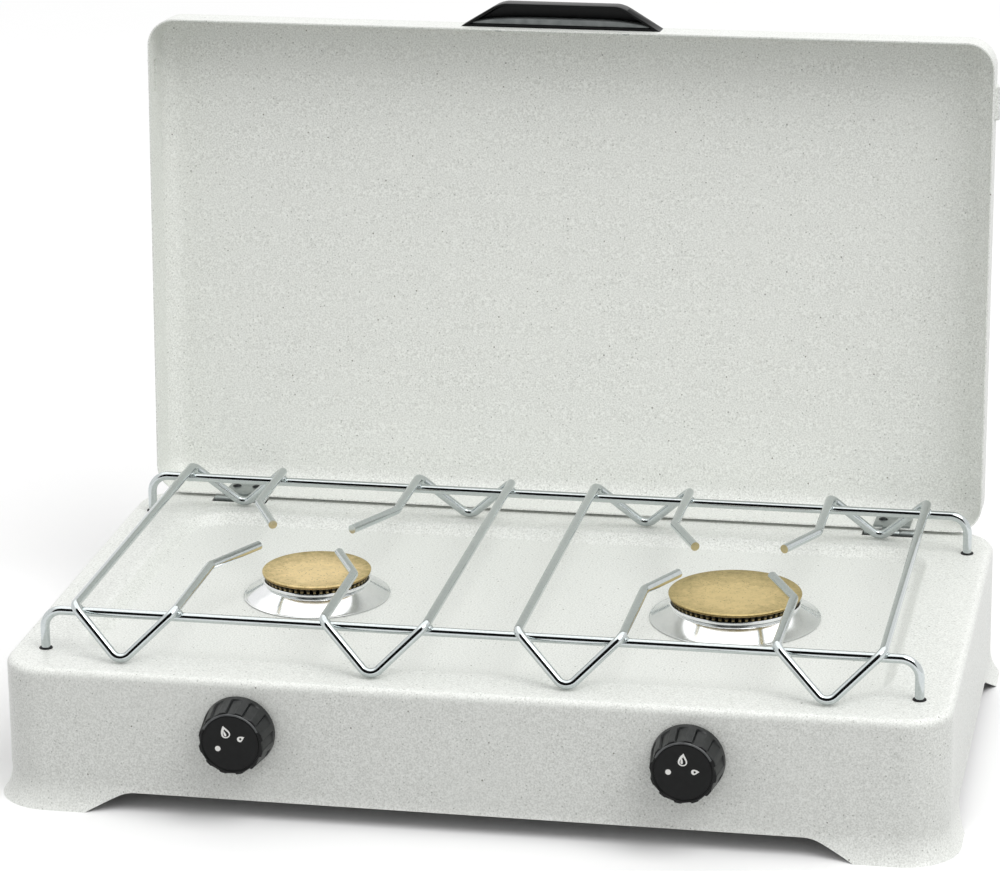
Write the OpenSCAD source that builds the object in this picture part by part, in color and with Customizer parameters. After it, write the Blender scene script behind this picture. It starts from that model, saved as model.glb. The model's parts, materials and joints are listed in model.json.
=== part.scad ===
// Tabletop gas stove with two burners, a lift-off wire grate and a hinged lid that opens to a windshield.
// X runs to the right, Y to the back and Z up. The origin is on the table, under the middle of the grate.

/* [Casing] */
// Width of the casing over its side walls
casing_w = 505; // [490:1:560]
// Depth of the casing over its front and rear walls
casing_d = 302; // [292:1:340]
// How far the middle of the grate stands in front of the middle of the casing
grate_shift = 4; // [3.5:0.5:6]
// Height of the casing's top face above the table
casing_h = 78; // [72:1:100]
// Thickness of the enamelled sheet
sheet_t = 0.8; // [0.6:0.1:1.2]
// Plan radius of the casing's corners
casing_corner_r = 25; // [18:1:32]
// Radius of the casing's top edge
casing_edge_r = 4; // [3:0.5:8]
// How far the foot lip flares outwards
foot_flare = 5.5; // [3:0.5:8]
// Height over which the foot lip flares
foot_flare_h = 15; // [12:1:20]
// Length of each foot along the front and rear walls
foot_l = 47.5; // [40:0.5:60]
// Length of each foot along the side walls
foot_side_l = 44; // [38:0.5:60]
// Height of the arch between two feet
arch_h = 11; // [7:0.5:16]
// Run of the slope from a foot up to its arch
arch_run = 22; // [14:0.5:30]
// Radius where the slope meets the arch
arch_round_r = 20; // [10:1:28]

/* [Tray] */
// Depth of the tray pressed into the top
tray_depth = 6; // [4:0.5:9]
// Distance from a side wall to the tray's edge
tray_side_inset = 34.5; // [30:0.5:50]
// Distance from the front wall to the tray's edge
tray_front_inset = 32; // [29:0.5:36]
// Distance from the rear wall to the tray's edge
tray_rear_inset = 35; // [32:0.5:40]
// Plan radius of the tray's corners
tray_corner_r = 30; // [20:1:40]

/* [Grate] */
// Diameter of the grate wire
wire_d = 5; // [4:0.1:6]
// Height of the rails' centre line above the casing's top
rail_rise = 22; // [18:0.5:26]
// Distance from the front wall to the front rail
rail_inset = 32; // [28:0.5:36]
// Distance from a side wall to the front rail's leg
front_leg_inset = 18.5; // [14:0.5:22]
// Distance from a side wall to the rear rail's leg
rear_leg_inset = 13.5; // [13:0.5:20]
// Bend radius of the rails' corners, at the wire's centre
rail_bend_r = 10; // [7:0.5:14]
// How far a leg reaches below the casing's top
leg_plug = 14; // [8:0.5:20]
// Distance from a side wall to the centre of a pot support
cell_inset = 132.5; // [129.5:0.5:135.5]
// Distance from the support's centre to its long rods
rod_reach = 95.5; // [90:0.5:98]
// Distance from the support's centre to the fingers' legs
finger_reach = 40.3; // [34:0.1:46]
// Distance from the front wall to the bottom of a front V bend
v_inset = 15.5; // [13:0.5:18]
// Distance along the depth from the burner's centre to a finger's bend
finger_bend_y = 54; // [46:0.5:60]
// Distance across from the support's centre to a finger's tip
tip_x = 24; // [18:0.5:30]
// Distance along the depth from the burner's centre to a finger's tip
tip_y = 20.4; // [14:0.1:28]
// How far a support runs past the rail before it turns down
shoulder = 3.5; // [2:0.5:5]
// Bend radius of the support wires, at the wire's centre
support_bend_r = 6; // [5:0.5:8]
// Clearance left at the welds between wires
weld_gap = 0.05; // [0.02:0.01:0.1]
// Clearance between the V bends and the casing's top
seat_gap = 0.3; // [0.2:0.05:0.5]
// Outer radius of a leg grommet
grommet_r = 4; // [3.7:0.1:5]
// Height of a grommet's bead above the sheet
grommet_bead = 1.1; // [0.8:0.1:2]
// Radial clearance of a leg in its grommet
leg_clearance = 0.08; // [0.05:0.01:0.1]

/* [Burners] */
// How far the left burner stands inside the centre of its pot support
left_burner_shift = 6.2; // [0:0.1:8]
// How far the right burner stands outside the centre of its pot support
right_burner_shift = 1.5; // [0:0.1:4]
// Distance of the burners behind the middle of the grate
burner_y = 6.4; // [0:0.1:10]
// Radius of the left, smaller burner cap
left_cap_r = 30.4; // [29:0.1:33]
// Radius of the right, larger burner cap
right_cap_r = 36.6; // [33:0.1:40]
// How far a skirt's base reaches past the cap
skirt_reach = 10.5; // [7:0.5:14]
// Height of the skirt's cone
skirt_h = 7; // [6:0.5:10]
// Thickness of the skirt's sheet
skirt_t = 0.6; // [0.4:0.1:1]
// Height of the burner head's plain rim
rim_h = 3.6; // [2.5:0.1:5]
// Height of the flame ports
port_h = 3.1; // [2:0.1:4]
// Width of a flame port at its foot
port_foot_w = 2.2; // [1.8:0.1:2.4]
// Width of a flame port at its roof
port_roof_w = 1.2; // [0.8:0.1:1.6]
// Spacing of the flame ports round the cap
port_pitch = 3.7; // [3.6:0.1:6]
// Thickness of the cap's disc
cap_t = 1.4; // [1:0.1:2.5]
// Outer radius of the bowl under the tray
bowl_r = 20; // [19:0.5:22]
// Wall of the bowl and of the burner head
bowl_wall = 2; // [1.5:0.1:3]
// Depth of the bowl below the tray's floor
bowl_depth = 32; // [30:0.5:34]
// Radius of the bowl's flange
flange_r = 32; // [31:0.5:34]
// Thickness of the bowl's flange
flange_t = 2.5; // [2:0.1:4]
// Length of the head's spigot inside the bowl
spigot_l = 8; // [6:0.5:9]
// Radius of the circle of burner screws
burner_screw_circle = 27; // [26.5:0.1:27.5]

/* [Taps] */
// Distance from a side wall to a knob's axis
tap_inset = 133.5; // [130.5:0.5:136.5]
// Distance of the knobs' axis below the casing's top
tap_drop = 26.5; // [25:0.5:28]
// Distance of the tap's centre behind the front wall
tap_setback = 27; // [26:0.5:30]
// Radius of the spindle
spindle_r = 3; // [2.5:0.1:3.5]
// Radial running clearance of the spindle
spindle_clearance = 0.06; // [0.03:0.01:0.1]
// Radius of the tap's body
tap_r = 10; // [9:0.5:11]
// Distance of the tap's neck behind the front wall
neck_setback = 15; // [13:0.5:17]
// Travel of a knob when it is pushed in
push_travel = 2.5; // [1.5:0.1:3]
// Gap between a knob's back and the front wall
knob_gap = 3; // [3:0.1:4]
// Height of a knob
knob_h = 18.7; // [15:0.1:22]
// Radius of a knob at its back
knob_r = 19.6; // [18:0.1:21]
// Radius of a knob at its face
knob_face_r = 17.5; // [15.5:0.1:18]
// Number of finger scallops round a knob
knob_flutes = 12; // [10:1:14]
// Angle at which the left knob stands turned
left_knob_turn = 23; // [0:1:90]

/* [Gas line] */
// Outer radius of the manifold tube
tube_r = 5; // [4.5:0.1:5.5]
// Wall of the manifold tube
tube_wall = 1; // [0.8:0.1:1.5]
// Distance of the manifold below the knobs' axis
manifold_drop = 17.5; // [17:0.5:19]
// Bend radius of the manifold, at the tube's centre
manifold_bend_r = 22; // [18:1:30]
// Distance from the left side wall to the gas inlet
inlet_inset = 47.5; // [40:0.5:57]
// Radius of the inlet's male thread
inlet_r = 6.58; // [6:0.01:7.5]
// Free length of the inlet's male thread
inlet_l = 14; // [10:0.5:20]
// Distance from the middle of the stove to a manifold bracket
bracket_x = 60; // [40:1:90]
// Outer radius of a venturi tube
venturi_r = 9; // [8:0.1:9.5]
// Wall of a venturi tube
venturi_wall = 1; // [0.8:0.1:1.5]

/* [Lid] */
// Height of the lid over its wall
lid_h = 33; // [32:0.5:40]
// Distance from the casing's side wall to the lid's side wall
lid_side_inset = 8; // [5:0.5:8]
// Distance from the casing's front wall to the closed lid's front wall
lid_front_inset = 4; // [0:0.5:10]
// Distance from the casing's rear wall to the closed lid's rear wall
lid_rear_inset = 14.7; // [13.5:0.1:16.5]
// Gap under the closed lid's rim
lid_gap = 1; // [0.6:0.1:1.5]
// Plan radius of the lid's corners
lid_corner_r = 16; // [14:0.5:22]
// Radius between the lid's panel and its walls
lid_edge_r = 12; // [8:0.5:13]
// How far the open lid leans back from upright
lid_tilt = 3.2; // [0:0.1:6]
// Distance from the lid's front to the middle of its side catches
catch_y = 35; // [30:1:60]
// Length of a side catch
catch_l = 20; // [14:1:24]
// How far a side catch stands out
catch_rise = 2.8; // [2:0.1:3.5]
// Height of a side catch
catch_h = 7; // [5:0.5:9]

/* [Hinges] */
// Distance from a side wall to the middle of a hinge
hinge_inset = 59.5; // [55:0.5:70]
// Length of a hinge's barrel
barrel_l = 31; // [27:0.5:36]
// Radius of a hinge's barrel
barrel_r = 2.4; // [2.2:0.1:2.6]
// Radius of a hinge's pin
hinge_pin_r = 1.2; // [1:0.05:1.4]
// Radial running clearance of the pin in the lid's knuckle
hinge_clearance = 0.05; // [0.03:0.01:0.1]
// Gap between two knuckles
knuckle_gap = 0.5; // [0.3:0.1:0.8]
// Distance of the hinge axis behind the closed lid's rear wall
axis_setback = 2.54; // [2.5:0.01:2.7]
// Distance of the hinge axis below the casing's top
axis_drop = 0.5; // [0.3:0.1:0.8]
// Thickness of the hinge leaves
leaf_t = 1.2; // [0.8:0.1:1.4]
// Width of the hinge leaves
leaf_w = 21; // [18:0.5:24]
// Length of the lid's leaf above the rim
leaf_l = 19; // [17:0.5:20]
// Distance between a leaf's two rivets
rivet_spacing = 12; // [10:0.5:13]
// Radius of a rivet's shank
rivet_r = 1.6; // [1.4:0.1:2]

/* [Handle] */
// Distance of the handle's middle to the left of the lid's middle
handle_offset = 3; // [0:0.5:6]
// Width of the handle at the lid
handle_w = 115; // [100:1:130]
// Width of the handle at its edge
handle_tip_w = 70; // [56:1:80]
// How far the handle stands out from the lid
handle_reach = 13.7; // [11:0.1:18]
// Distance of the handle from the lid's rim
handle_rise = 7; // [5:0.5:8]
// Height of the handle along the lid's wall
handle_h = 12.5; // [11:0.5:13]
// Wall of the handle round its finger hollow
handle_wall = 2.5; // [2:0.1:3]
// Radius of the handle's outer corners
handle_corner_r = 9; // [5:0.5:10]
// Distance from the middle of the handle to a screw
handle_screw_x = 37; // [34:0.5:40]

/* [Hidden] */
$fn = 64;

// Margin by which a cutter runs past the face that it cuts
past = 1;
// How much a rod thins in a bend, and how far a bend reaches into the straight stretches
bend_thinning = 0.03;
bend_lap = 0.5;
// Number of flats that make up a rounded corner of a flat outline
arc_steps = 10;
enamel = "gainsboro";
chrome = "silver";
steel = "lightsteelblue";
alloy = "lightgray";
brass = "darkkhaki";
black = "#202022";

// Casing and tray
casing_mid_y = grate_shift;
front_y = casing_mid_y - casing_d / 2;
rear_y = casing_mid_y + casing_d / 2;
under_top = casing_h - sheet_t;
tray_w = casing_w - 2 * tray_side_inset;
tray_d = casing_d - tray_front_inset - tray_rear_inset;
tray_mid_y = casing_mid_y + (tray_front_inset - tray_rear_inset) / 2;
tray_floor = casing_h - tray_depth;
under_tray = tray_floor - sheet_t;
flare_r = (foot_flare_h * foot_flare_h + foot_flare * foot_flare) / (2 * foot_flare);

// Grate
wire_r = wire_d / 2;
rail_z = casing_h + rail_rise;
rail_y = -front_y - rail_inset;
front_leg_x = casing_w / 2 - front_leg_inset;
rear_leg_x = casing_w / 2 - rear_leg_inset;
leg_end_z = casing_h - leg_plug;
cell_x = casing_w / 2 - cell_inset;
rod_z = rail_z + wire_d + weld_gap;
shoulder_y = rail_y + wire_r + shoulder;
v_reach = (rod_reach + finger_reach) / 2;
v_y = -front_y - v_inset;
v_z = casing_h + seat_gap + wire_r;
grommet_bore_r = wire_r + leg_clearance;
grommet_neck_r = grommet_bore_r + 0.7;
grommet_fit = 0.05;

// Burners
left_burner_x = left_burner_shift - cell_x;
right_burner_x = cell_x + right_burner_shift;
rim_z = tray_floor + skirt_h;
port_z = rim_z + rim_h;
head_inset = 0.3;
port_inset = 1.2;
port_wall = 3.8;
port_roof = 0.6;
port_floor = 0.4;
cap_spigot_wall = 1.5;
cap_spigot_h = 2.4;
cap_fit = 0.3;
rim_wall = port_inset + port_wall;
cup_wall = 1.5;
cup_floor_h = 3;
cup_lip_h = 0.6;
spigot_fit = 0.1;
spigot_r = bowl_r - bowl_wall - spigot_fit;
seat_r = bowl_r + 2;
seat_h = 2;
skirt_lip = 1.5;
burner_hole_r = spigot_r + 0.6;
bowl_z = under_tray - bowl_depth;
burner_screw_r = 1.9;
burner_screw_head_r = 3.2;
burner_screw_head_h = 2;
burner_screw_l = 7;
screw_fit = 0.1;
screw_angles = [30, 150, 270];

// Taps, from the knob at the front to the injector at the back
tap_x = casing_w / 2 - tap_inset;
tap_z = casing_h - tap_drop;
tap_y = front_y + tap_setback;
manifold_z = tap_z - manifold_drop;
knob_back_y = front_y - knob_gap;
knob_face_y = knob_back_y - knob_h;
knob_wall = 2.6;
knob_hub_r = 6.5;
knob_bore_l = 13;
knob_edge_r = 0.8;
knob_rim_w = 0.8;
knob_recess = 0.5;
flute_r = 4;
flute_depth = 0.8;
flute_start = 3.5;
knob_taper = atan2(knob_r - knob_face_r, knob_h);
collar_y = front_y + 1;
collar_l = 1.2;
collar_r = spindle_r + 1.4;
washer_t = 1;
washer_r = 6.5;
washer_y = collar_y + collar_l;
neck_y = front_y + neck_setback;
neck_r = 6.5;
neck_l = 4;
spindle_end_y = tap_y - 2;
spindle_flat = spindle_r * 0.6;
tap_half_l = 12;
tap_boss_r = 6;
tap_boss_l = 6;
saddle_w = 12;
saddle_d = 26;
saddle_gap = 0.2;
gas_way_r = 1.5;
spindle_hole_r = collar_r + 1.6;
spring_wire_r = 0.45;
spring_r = spindle_r + 1.6;
spring_turns = 5;
spring_seat = 0.1;
ring_steps = 8;
wire_sides = 6;

// Injector and venturi
jet_y = tap_y + tap_half_l + tap_boss_l;
jet_hex_r = 5.5;
jet_hex_l = 4;
jet_r = 3;
jet_l = 8;
jet_hole_r = 0.4;
jet_cover = 4;
venturi_y = jet_y + jet_hex_l + jet_l - jet_cover;
venturi_fit = 0.05;
venturi_bell = 1.5;
venturi_bell_l = 5;
venturi_into_bowl = bowl_wall + 1;

// Gas line
tube_fit = 0.1;
tube_overrun = 14;
tube_end_x = tap_x + saddle_w / 2 + tube_overrun;
inlet_x = casing_w / 2 - inlet_inset;
inlet_socket_l = 10;
inlet_body_r = tube_r + 2.5;
inlet_hex_r = inlet_r + 4;
inlet_hex_l = 8;
inlet_body_l = 20;
inlet_neck_r = inlet_r - 0.18;
locknut_t = 4;
inlet_bore_r = 3;
inlet_wall_y = rear_y - sheet_t;
inlet_body_y = inlet_wall_y - inlet_hex_l - inlet_body_l;
tube_end_y = inlet_body_y + inlet_socket_l;
inlet_end_y = rear_y + locknut_t + inlet_l;
strap_t = 1.5;
strap_w = 10;
clamp_screw_r = 1.5;
clamp_screw_head_r = 2.8;
clamp_screw_head_h = 2;
clamp_screw_l = 8;
clamp_screw_y = saddle_d / 2 - 3.2;
bracket_t = 1.5;
bracket_rim = 4;
bracket_flange_w = 14;
bracket_back_y = front_y + tray_front_inset - sheet_t - 1.5;
bracket_front_y = front_y + casing_edge_r + 2;

// Lid, described closed; swing() turns it to its open place
lid_w = casing_w - 2 * lid_side_inset;
lid_front_y = front_y + lid_front_inset;
lid_rear_y = rear_y - lid_rear_inset;
lid_l = lid_rear_y - lid_front_y;
lid_mid_y = (lid_rear_y + lid_front_y) / 2;
lid_rim_z = casing_h + lid_gap;
lid_open = 90 + lid_tilt;
catch_z = lid_rim_z + 9;

// Hinges
hinge_x = casing_w / 2 - hinge_inset;
hinge_y = lid_rear_y + axis_setback;
hinge_z = casing_h - axis_drop;
hinge_bore_r = hinge_pin_r + hinge_clearance;
knuckle_l = (barrel_l - 2 * knuckle_gap) / 3;
lid_rear_in = lid_rear_y - sheet_t;
leaf_clear = 0.4;
slot_w = barrel_l + 2;
slot_clear = 0.9;
slot_front_y = lid_rear_in - leaf_t - slot_clear;
slot_rear_y = hinge_y + barrel_r + slot_clear;
base_leaf_l = 21;
base_leaf_top = casing_h - casing_edge_r - leaf_clear;
base_rivet_z = base_leaf_top - base_leaf_l / 2;
lid_rivet_z = lid_rim_z + leaf_l * 0.7;
rivet_head_r = rivet_r + 1.1;
rivet_head_h = 1.1;
rivet_tail_h = 0.8;
rivet_fit = 0.05;

// Handle
handle_z = lid_rim_z + handle_rise;
handle_slope = atan2(handle_reach, (handle_w - handle_tip_w) / 2);
handle_roof = 3.5;
handle_boss_r = 4.2;
handle_boss_l = 8;
handle_screw_r = 1.6;
handle_screw_l = 7;
handle_screw_z = handle_z + handle_h / 2;
handle_screw_head_r = 3.2;
handle_screw_head_h = 1.8;

function unit(v) = v / norm(v);

// Rigid frame with its origin at p, its X axis along x and its Z axis along z
function frame_at(p, x, z) = let (y = cross(z, x)) [
  [x[0], y[0], z[0], p[0]],
  [x[1], y[1], z[1], p[1]],
  [x[2], y[2], z[2], p[2]],
  [0, 0, 0, 1]
];

// Any direction square to v
function square_to(v) = unit(cross(v, abs(v[2]) < 0.7 ? [0, 0, 1] : [1, 0, 0]));

// Direction of the stretch that leaves point i, the angle of the bend at point i, and the length it takes up
function heading(path, i) = unit(path[i + 1] - path[i]);
function bend_angle(path, i) = acos(heading(path, i - 1) * heading(path, i));
function setback(path, i, bend_r) =
  i == 0 || i == len(path) - 1 ? 0 : bend_r * tan(bend_angle(path, i) / 2);

// Direction, square to the stretch before it, towards which the rod bends at point i
function inwards(path, i) = let (before = heading(path, i - 1), after = heading(path, i))
  unit(after - before * (before * after));

// Side axis carried along the stretch that leaves point i, and the turn from it to the next bend
function side_axis(path, i) = i == 0
  ? square_to(heading(path, 0))
  : inwards(path, i) * cos(bend_angle(path, i)) - heading(path, i - 1) * sin(bend_angle(path, i));
function roll(path, i) = let (x = side_axis(path, i), to = inwards(path, i + 1))
  atan2(cross(x, to) * heading(path, i), x * to);

// Rod from point i on: a straight stretch along Z, a bend towards X that starts and ends inside
// the straight stretches, and the rest of the rod where the bend ends
module rod_from(path, i, bend_r, r) {
  length = norm(path[i + 1] - path[i]) - setback(path, i, bend_r) - setback(path, i + 1, bend_r);
  cylinder(h = length, r = r);
  if (i < len(path) - 2) {
    angle = bend_angle(path, i + 1);
    lap = bend_lap / bend_r * 180 / PI;
    translate([0, 0, length]) rotate([0, 0, roll(path, i)]) translate([bend_r, 0, 0]) {
      rotate([90, 0, 180]) rotate([0, 0, -lap])
        rotate_extrude(angle = angle + 2 * lap) translate([bend_r, 0]) circle(r - bend_thinning);
      rotate([0, angle, 0]) translate([-bend_r, 0, 0]) rod_from(path, i + 1, bend_r, r);
    }
  }
}

// Round rod along a path of points, bent to a radius at each inner point
module bent_rod(path, bend_r, r) {
  multmatrix(frame_at(path[0], side_axis(path, 0), heading(path, 0))) rod_from(path, 0, bend_r, r);
}

// Draws a half section out to half on both sides of the middle
module both_sides(half) {
  $half = half;
  for (side = [0, 1]) mirror([side, 0]) children();
}

module out_to(half) {
  $half = half;
  children();
}

// Solid whose half section, drawn by the child out to $half, runs round a rounded rectangle
module swept_block(w, d, corner_r) {
  rotate([90, 0, 90])
    linear_extrude(w - 2 * corner_r, center = true) both_sides(d / 2) children();
  rotate([90, 0, 0])
    linear_extrude(d - 2 * corner_r, center = true) both_sides(w / 2) children();
  for (x_side = [0, 1], y_side = [0, 1])
    mirror([x_side, 0, 0]) mirror([0, y_side, 0])
      translate([w / 2 - corner_r, d / 2 - corner_r, 0])
        rotate_extrude(angle = 90) out_to(corner_r) children();
}

// Cylinder along Y from one place to another, with its axis at x and z
module y_rod(x, z, from_y, to_y, r) {
  translate([x, from_y, z]) rotate([-90, 0, 0]) cylinder(h = to_y - from_y, r = r);
}

// Cylinder along X from one place to another, with its axis at y and z
module x_rod(y, z, from_x, to_x, r) {
  translate([from_x, y, z]) rotate([0, 90, 0]) cylinder(h = to_x - from_x, r = r);
}

// Quarter of a disc, between the X and Y axes
module quarter_disc(r) {
  intersection() {
    circle(r);
    square(r);
  }
}

// Half section of the casing: top edge, upright wall and flared lip, drawn in by skin
module casing_section(skin) {
  half = $half - skin;
  top = casing_h - skin;
  edge = casing_edge_r - skin;
  lip_r = flare_r + skin;
  bottom = skin > 0 ? -past : 0;
  translate([0, bottom]) square([half, top - edge - bottom]);
  square([half - edge, top]);
  translate([half - edge, top - edge]) quarter_disc(edge);
  difference() {
    translate([half - past, bottom]) square([past + 2 * foot_flare, foot_flare_h - bottom]);
    translate([half + lip_r, foot_flare_h]) circle(lip_r);
    translate([half + foot_flare + past, bottom - past]) square([foot_flare + past, foot_flare_h + 3 * past]);
  }
}

// Half section of the tray: flat floor and sloping side, drawn out by skin
module tray_section(skin) {
  shift = skin * tan(22.5);
  polygon([
    [0, tray_floor - skin],
    [$half - tray_depth + shift, tray_floor - skin],
    [$half + shift, casing_h - skin],
    [$half + shift, casing_h + past],
    [0, casing_h + past]
  ]);
}

// Points along an arc, from one angle to another, and the same points on the other side of the middle
function arc(centre, r, from, to) = [
  for (k = [0 : arc_steps])
    let (angle = from + (to - from) * k / arc_steps) centre + r * [cos(angle), sin(angle)]
];
function other_side(points) = [for (i = [len(points) - 1 : -1 : 0]) [-points[i][0], points[i][1]]];

// Outline of the arch between two feet, where half is the half distance between the feet
module arch_outline(half) {
  slope = atan2(arch_h, arch_run);
  flat = half - arch_run - arch_round_r * tan(slope / 2);
  points = concat(
    [[half + past * arch_run / arch_h, -past]],
    arc([flat, arch_h - arch_round_r], arch_round_r, 90 - slope, 90)
  );
  polygon(concat(points, other_side(points)));
}

module at_legs() {
  for (side = [-1, 1]) {
    translate([side * front_leg_x, -rail_y, casing_h]) children();
    translate([side * rear_leg_x, rail_y, casing_h]) children();
  }
}

module at_burners() {
  for (x = [left_burner_x, right_burner_x]) translate([x, burner_y, 0]) children();
}

module at_burner_screws() {
  for (angle = screw_angles) rotate([0, 0, angle]) translate([burner_screw_circle, 0, 0]) children();
}

module at_rivets() {
  for (side = [-1, 1], place = [-0.5, 0.5])
    translate([side * hinge_x + place * rivet_spacing, 0, 0]) children();
}

// Outside of the casing, drawn in by skin, and the hollow of the tray, drawn out by skin
module casing_block(skin) {
  translate([0, casing_mid_y, 0]) swept_block(casing_w, casing_d, casing_corner_r) casing_section(skin);
}

module tray_block(skin) {
  translate([0, tray_mid_y, 0]) swept_block(tray_w, tray_d, tray_corner_r) tray_section(skin);
}

// Pressed sheet before it is pierced: the hollow casing with the tray sunk into its top
module casing_sheet() {
  difference() {
    casing_block(0);
    tray_block(0);
    difference() {
      casing_block(sheet_t);
      tray_block(sheet_t);
    }
  }
}

// Arch cut through the two walls that face along Y, between feet that stand half from the middle
module arches(half, reach) {
  rotate([90, 0, 0]) linear_extrude(reach, center = true) arch_outline(half);
}

// Holes for the grate's legs, the burners, the taps, the hinges and the gas inlet
module casing_holes() {
  at_legs() cylinder(h = 4 * past, r = grommet_neck_r + grommet_fit, center = true);
  at_burners() {
    translate([0, 0, under_tray - past]) cylinder(h = sheet_t + 2 * past, r = burner_hole_r);
    at_burner_screws()
      translate([0, 0, under_tray - past]) cylinder(h = sheet_t + 2 * past, r = burner_screw_r + screw_fit);
  }
  for (side = [-1, 1]) {
    y_rod(side * tap_x, tap_z, front_y - past, front_y + sheet_t + past, spindle_hole_r);
    translate([side * hinge_x - slot_w / 2, slot_front_y, under_top - past])
      cube([slot_w, slot_rear_y - slot_front_y, sheet_t + 2 * past]);
  }
  at_rivets() y_rod(0, base_rivet_z, inlet_wall_y - past, rear_y + past, rivet_r + rivet_fit);
  y_rod(-inlet_x, manifold_z, inlet_wall_y - past, rear_y + past, inlet_neck_r + tube_fit);
}

module casing() {
  color(enamel) difference() {
    difference() {
      difference() {
        casing_sheet();
        arches(casing_w / 2 - foot_l, 2 * casing_d);
      }
      translate([0, casing_mid_y, 0]) rotate([0, 0, 90]) arches(casing_d / 2 - foot_side_l, 2 * casing_w);
    }
    casing_holes();
  }
}

module leg_grommets() {
  color(black) at_legs() rotate_extrude() polygon([
    [grommet_bore_r, -sheet_t - grommet_bead],
    [grommet_r, -sheet_t - grommet_bead],
    [grommet_r, -sheet_t],
    [grommet_neck_r, -sheet_t],
    [grommet_neck_r, 0],
    [grommet_r, 0],
    [grommet_r - grommet_bead / 3, grommet_bead],
    [grommet_bore_r, grommet_bead]
  ]);
}

module rail(y, leg_x) {
  color(chrome) bent_rod([
    [-leg_x, y, leg_end_z],
    [-leg_x, y, rail_z],
    [leg_x, y, rail_z],
    [leg_x, y, leg_end_z]
  ], rail_bend_r, wire_r);
}

// Corner point of a V bend whose wire comes to rest at v_z: the bend rounds the corner off by this much
v_arm = [v_reach - finger_reach, v_y - shoulder_y, v_z - rod_z];
v_half_angle = 90 - atan2(abs(v_arm[0]), norm([v_arm[1], v_arm[2]]));
v_cut = support_bend_r * (1 / cos(v_half_angle) - 1);
v_fall = unit([v_arm[1], v_arm[2]]) * v_cut;

// Support wire on one side of its cell: finger, front V, long rod, rear V, finger
module support(cell, side) {
  tip = cell + side * tip_x;
  finger = cell + side * finger_reach;
  v = cell + side * v_reach;
  rod = cell + side * rod_reach;
  color(chrome) bent_rod([
    [tip, burner_y - tip_y, rod_z],
    [finger, burner_y - finger_bend_y, rod_z],
    [finger, -shoulder_y, rod_z],
    [v, -v_y - v_fall[0], v_z + v_fall[1]],
    [rod, -shoulder_y, rod_z],
    [rod, shoulder_y, rod_z],
    [v, v_y + v_fall[0], v_z + v_fall[1]],
    [finger, shoulder_y, rod_z],
    [finger, burner_y + finger_bend_y, rod_z],
    [tip, burner_y + tip_y, rod_z]
  ], support_bend_r, wire_r);
}

// Mixing bowl that hangs under the tray from its flange
module burner_bowl(x, tap) {
  color(alloy) difference() {
    translate([x, burner_y, 0]) difference() {
      union() {
        translate([0, 0, bowl_z]) cylinder(h = bowl_depth, r = bowl_r);
        translate([0, 0, under_tray - flange_t]) cylinder(h = flange_t, r = flange_r);
      }
      translate([0, 0, bowl_z + bowl_wall]) cylinder(h = bowl_depth, r = bowl_r - bowl_wall);
      at_burner_screws()
        translate([0, 0, under_tray - flange_t - past])
          cylinder(h = flange_t + 2 * past, r = burner_screw_r + screw_fit);
    }
    y_rod(tap, tap_z, burner_y - bowl_r - past, burner_y, venturi_r + venturi_fit);
  }
}

// Burner head: a spigot in the bowl, a seat on the tray and a flared cup with a plain rim
module burner_head(x, cap_r) {
  head_r = cap_r - head_inset;
  mouth_r = cap_r - rim_wall;
  color(alloy) translate([x, burner_y, 0]) rotate_extrude() polygon([
    [spigot_r - bowl_wall, tray_floor - spigot_l],
    [spigot_r, tray_floor - spigot_l],
    [spigot_r, tray_floor],
    [seat_r, tray_floor],
    [seat_r, tray_floor + seat_h],
    [mouth_r + cup_wall, rim_z],
    [head_r, rim_z],
    [head_r, port_z],
    [mouth_r, port_z],
    [mouth_r, rim_z + cup_lip_h],
    [spigot_r - bowl_wall, tray_floor + cup_floor_h]
  ]);
}

// Chromed cone between the tray and the underside of the head's rim
module burner_skirt(x, cap_r) {
  base_r = cap_r + skirt_reach;
  top_r = cap_r - head_inset - skirt_lip;
  color(chrome) translate([x, burner_y, 0]) rotate_extrude() polygon([
    [base_r - skirt_lip - skirt_t, tray_floor],
    [base_r, tray_floor],
    [base_r, tray_floor + skirt_t],
    [base_r - skirt_lip, tray_floor + skirt_t],
    [top_r, rim_z],
    [top_r - skirt_t, rim_z]
  ]);
}

// Brass cap: a turned disc on a ring of milled flame ports, with a spigot in the head's mouth
module burner_cap(x, cap_r) {
  port_r = cap_r - port_inset;
  spigot_out = cap_r - rim_wall - cap_fit;
  ring_in = spigot_out - cap_spigot_wall - past;
  ports = round(2 * PI * port_r / port_pitch);
  cap_edge = cap_t / 2;
  color(brass) translate([x, burner_y, 0]) difference() {
    rotate_extrude() polygon([
      [0, port_z + port_h - cap_t],
      [spigot_out - cap_spigot_wall, port_z + port_h - cap_t],
      [spigot_out - cap_spigot_wall, port_z - cap_spigot_h],
      [spigot_out, port_z - cap_spigot_h],
      [spigot_out, port_z],
      [port_r, port_z],
      [port_r, port_z + port_h],
      [cap_r, port_z + port_h],
      [cap_r, port_z + port_h + cap_edge],
      [cap_r - cap_edge, port_z + port_h + cap_t],
      [0, port_z + port_h + cap_t]
    ]);
    for (i = [0 : ports - 1])
      rotate([0, 0, 360 * i / ports])
        translate([ring_in, 0, port_z]) rotate([90, 0, 90]) linear_extrude(cap_r - ring_in) polygon([
          [-port_foot_w / 2, -port_floor],
          [port_foot_w / 2, -port_floor],
          [port_roof_w / 2, port_h - port_roof],
          [-port_roof_w / 2, port_h - port_roof]
        ]);
  }
}

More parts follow.
